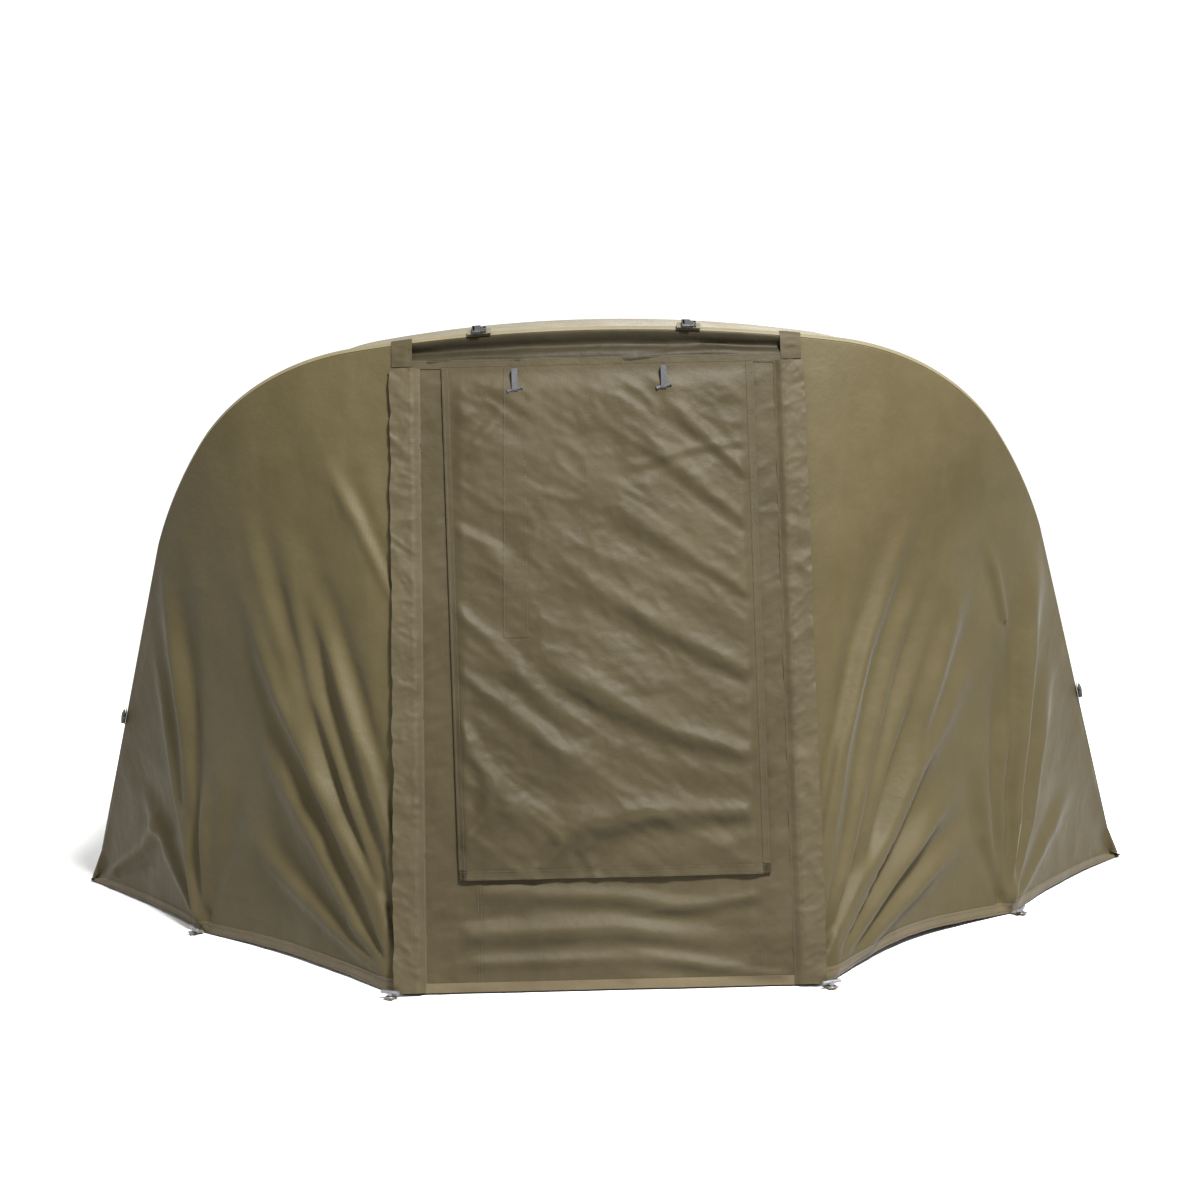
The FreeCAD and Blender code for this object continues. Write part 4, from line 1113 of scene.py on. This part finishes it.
def makeZips():
    z = np.linspace(zipLook["top"], zipLook["foot"], 150)[:, None]
    for name, flip, body in (("wing", 1.0, "front_hoop"), ("door", -1.0, "door_panel")):
        parts, tapes = [], []
        for side in (1.0, -1.0):
            parts.append(teeth(side, flip))
            x = zipLook["line"] + flip * np.linspace(0.0034, 0.0155, 5)[None]
            gx, gz = (x + 0 * z) * side, z + 0 * x
            tapes.append(clothSkin(wallPoint(gx, gz, 0.0026 + 0 * gx), 0.0008))
        coil = newMesh("zip_coil_" + name, *joined(*parts))
        dress(coil, "zip", "zip_nylon", "zip_{}_tapes".format(name))
        tape = newMesh("zip_tape_" + name, *joined(*tapes))
        dress(tape, "tape", "zip_nylon")
        for each in (coil, tape):
            onFront(each, body)


def copied(name, node, look, slotName, bevel=0.0):
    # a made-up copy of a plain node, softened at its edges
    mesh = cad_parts[node].data.copy()
    mesh.name = name
    piece = bpy.data.objects.new(name, mesh)
    scene.collection.objects.link(piece)
    if bevel:
        soften = piece.modifiers.new("edges", "BEVEL")
        soften.width, soften.segments, soften.limit_method = bevel, 2, "ANGLE"
        soften.angle_limit = math.radians(40)
    dress(piece, look, slotName, node)
    return piece


def eyelets(name, node, holeR):
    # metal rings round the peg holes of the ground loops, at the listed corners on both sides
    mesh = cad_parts[node].data
    points = np.array([v.co for v in mesh.vertices])
    top = points[:, 2].max()
    parts = []
    corners = [(0.490, -1.150), (1.040, -0.600)] if "front" in node else [(1.240, 0.740), (0.690, 1.235)]
    ring = np.linspace(0, 2 * math.pi, 33)[:-1]
    for x, y in corners:
        out = unit(np.array((x, y, 0.0)))
        for flip in (1.0, -1.0):
            c = (np.array((x, y, top)) + out * 0.026) * np.array((flip, 1.0, 1.0))
            rows = []
            for k in range(8):
                a = 2 * math.pi * k / 8
                r = holeR + 0.0018 + 0.0016 * math.cos(a)
                rows.append(np.stack((c[0] + r * np.cos(ring), c[1] + r * np.sin(ring),
                                      np.full_like(ring, c[2] + 0.0009 * math.sin(a))), -1))
            rows = np.array(rows)
            index = np.arange(8 * 32).reshape(8, 32)
            right, up = np.roll(index, -1, 1), np.roll(index, -1, 0)
            faces = np.stack((index, right, np.roll(right, -1, 0), up), -1).reshape(-1, 4)
            parts.append((rows.reshape(-1, 3), faces[:, ::-1]))
    return newMesh(name, *joined(*parts))


smallLook = {
    "barTilt": 15.0,  # degrees that the crossbars hang off level, right-hand end up
    "eyelet": 0.006,
    "webEdge": 0.0005,
}


def makeSmallParts():
    for side in ("left", "right"):
        pull = copied("zip_pull_" + side, "zip_slider_" + side, "blackPlastic", "zip_nylon")
        onFront(pull, "zip_slider_" + side)
        loop = copied("toggle_webbing_" + side, "toggle_loop_" + side, "greyWebbing", "grey_webbing", 0.0003)
        onFront(loop, "toggle_" + side)
        bar = copied("toggle_crossbar_" + side, "toggle_bar_" + side, "greyPlastic", "black_plastic")
        middle = sum((v.co for v in bar.data.vertices), Vector()) / len(bar.data.vertices)
        turn = Matrix.Rotation(math.radians(-smallLook["barTilt"]), 4, "Y")
        bar.data.transform(Matrix.Translation(middle) @ turn @ Matrix.Translation(-middle))
        onFront(bar, "toggle_" + side)
        for place in ("roof", "side"):
            name = "{}_strap_{}".format(place, side)
            webName = name.replace("strap", "strap_web")
            onFront(copied(webName, name, "webbing", "webbing", smallLook["webEdge"]))
    for end in ("front", "rear"):
        node = "peg_loops_" + end
        loop = copied("peg_loop_web_" + end, node, "webbing", "webbing", smallLook["webEdge"])
        ring = dress(eyelets("peg_eyelets_" + end, node, smallLook["eyelet"]), "peg", "peg_metal")
        for each in (loop, ring):
            if end == "front":
                onFront(each)
            else:
                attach(each, "root")


hardware = {  # finish of each plain node that stays as it is
    "pole": ("leg_pole", "crown_pole"),
    "hubPlastic": ("knuckle", "elbow", "hub_foot"),
    "bolt": ("pivot_bolt", "pivot_nut"),
    "blackPlastic": ("roof_buckle", "side_buckle"),
    "peg": ("ground_pegs",),
}


def finishHardware():
    for look, words in hardware.items():
        for name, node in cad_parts.items():
            if any(word in name for word in words):
                node.data.materials.clear()
                node.data.materials.append(finishes[look])
                node.data.shade_smooth()
                node.data.set_sharp_from_angle(angle=math.radians(35))


makeZips()
makeSmallParts()
finishHardware()
print("zips, straps and hardware made")


# floor, light, camera

studio = {
    "floor": (0.60, 0.60, 0.595),
    "floorSize": 14.0,
    "sky": 1.0,
    "key": {"at": (1.9, -5.0, 6.2), "aim": (0.2, -0.5, 0.6), "size": 1.2, "power": 1700.0},
    "fill": {"at": (-5.0, -4.0, 2.6), "aim": (-0.3, -0.6, 0.6), "size": 4.0, "power": 20.0},
    "back": {"at": (1.5, 5.0, 4.5), "aim": (0.0, 0.6, 0.6), "size": 4.0, "power": 110.0},
}


def makeFloor():
    bpy.ops.mesh.primitive_plane_add(size=studio["floorSize"], location=(0.0, 0.0, 0.0))
    floor = bpy.context.object
    floor.name = "studio_floor"
    f = Finish("pale_floor")
    worn = tuple(c * 0.985 for c in studio["floor"])
    tone = f.blended(f.cloud(0.6, 2.0, 0.5) * 0.3, studio["floor"], worn)
    floor.data.materials.append(f.surface(tone, 0.85))


def makeLamp(name, setting):
    lamp = bpy.data.lights.new(name, "AREA")
    lamp.shape, lamp.size, lamp.energy = "DISK", setting["size"], setting["power"]
    light = bpy.data.objects.new(name, lamp)
    light.location = setting["at"]
    aim = Vector(setting["aim"]) - Vector(setting["at"])
    light.rotation_euler = aim.to_track_quat("-Z", "Y").to_euler()
    scene.collection.objects.link(light)


def makeSky():
    world = bpy.data.worlds.new("studio_sky")
    scene.world = world
    world.use_nodes = True
    back = world.node_tree.nodes["Background"]
    back.inputs["Color"].default_value = (1.0, 1.0, 1.0, 1.0)
    back.inputs["Strength"].default_value = studio["sky"]


camera = {"at": (-0.026, -5.221, 1.326), "yaw": 0.292, "pitch": -6.03, "roll": -1.283, "lens": 55.13}


def makeCamera():
    yaw, pitch, roll = (math.radians(camera[k]) for k in ("yaw", "pitch", "roll"))
    forward = Vector((math.sin(yaw) * math.cos(pitch), math.cos(yaw) * math.cos(pitch), math.sin(pitch)))
    side = Vector((math.cos(yaw), -math.sin(yaw), 0.0))
    up = side.cross(forward)
    right = side * math.cos(roll) + up * math.sin(roll)
    above = up * math.cos(roll) - side * math.sin(roll)
    turn = Matrix((right, above, -forward)).transposed()
    lens = bpy.data.cameras.new("front_camera")
    lens.lens, lens.sensor_width = camera["lens"], 36.0
    view = bpy.data.objects.new("front_camera", lens)
    view.matrix_world = Matrix.Translation(camera["at"]) @ turn.to_4x4()
    scene.collection.objects.link(view)
    scene.camera = view


makeFloor()
for lampName in ("key", "fill", "back"):
    makeLamp(lampName + "_light", studio[lampName])
makeSky()
makeCamera()
scene.view_settings.view_transform = "Standard"
scene.view_settings.look = "Medium High Contrast"
print("studio made")
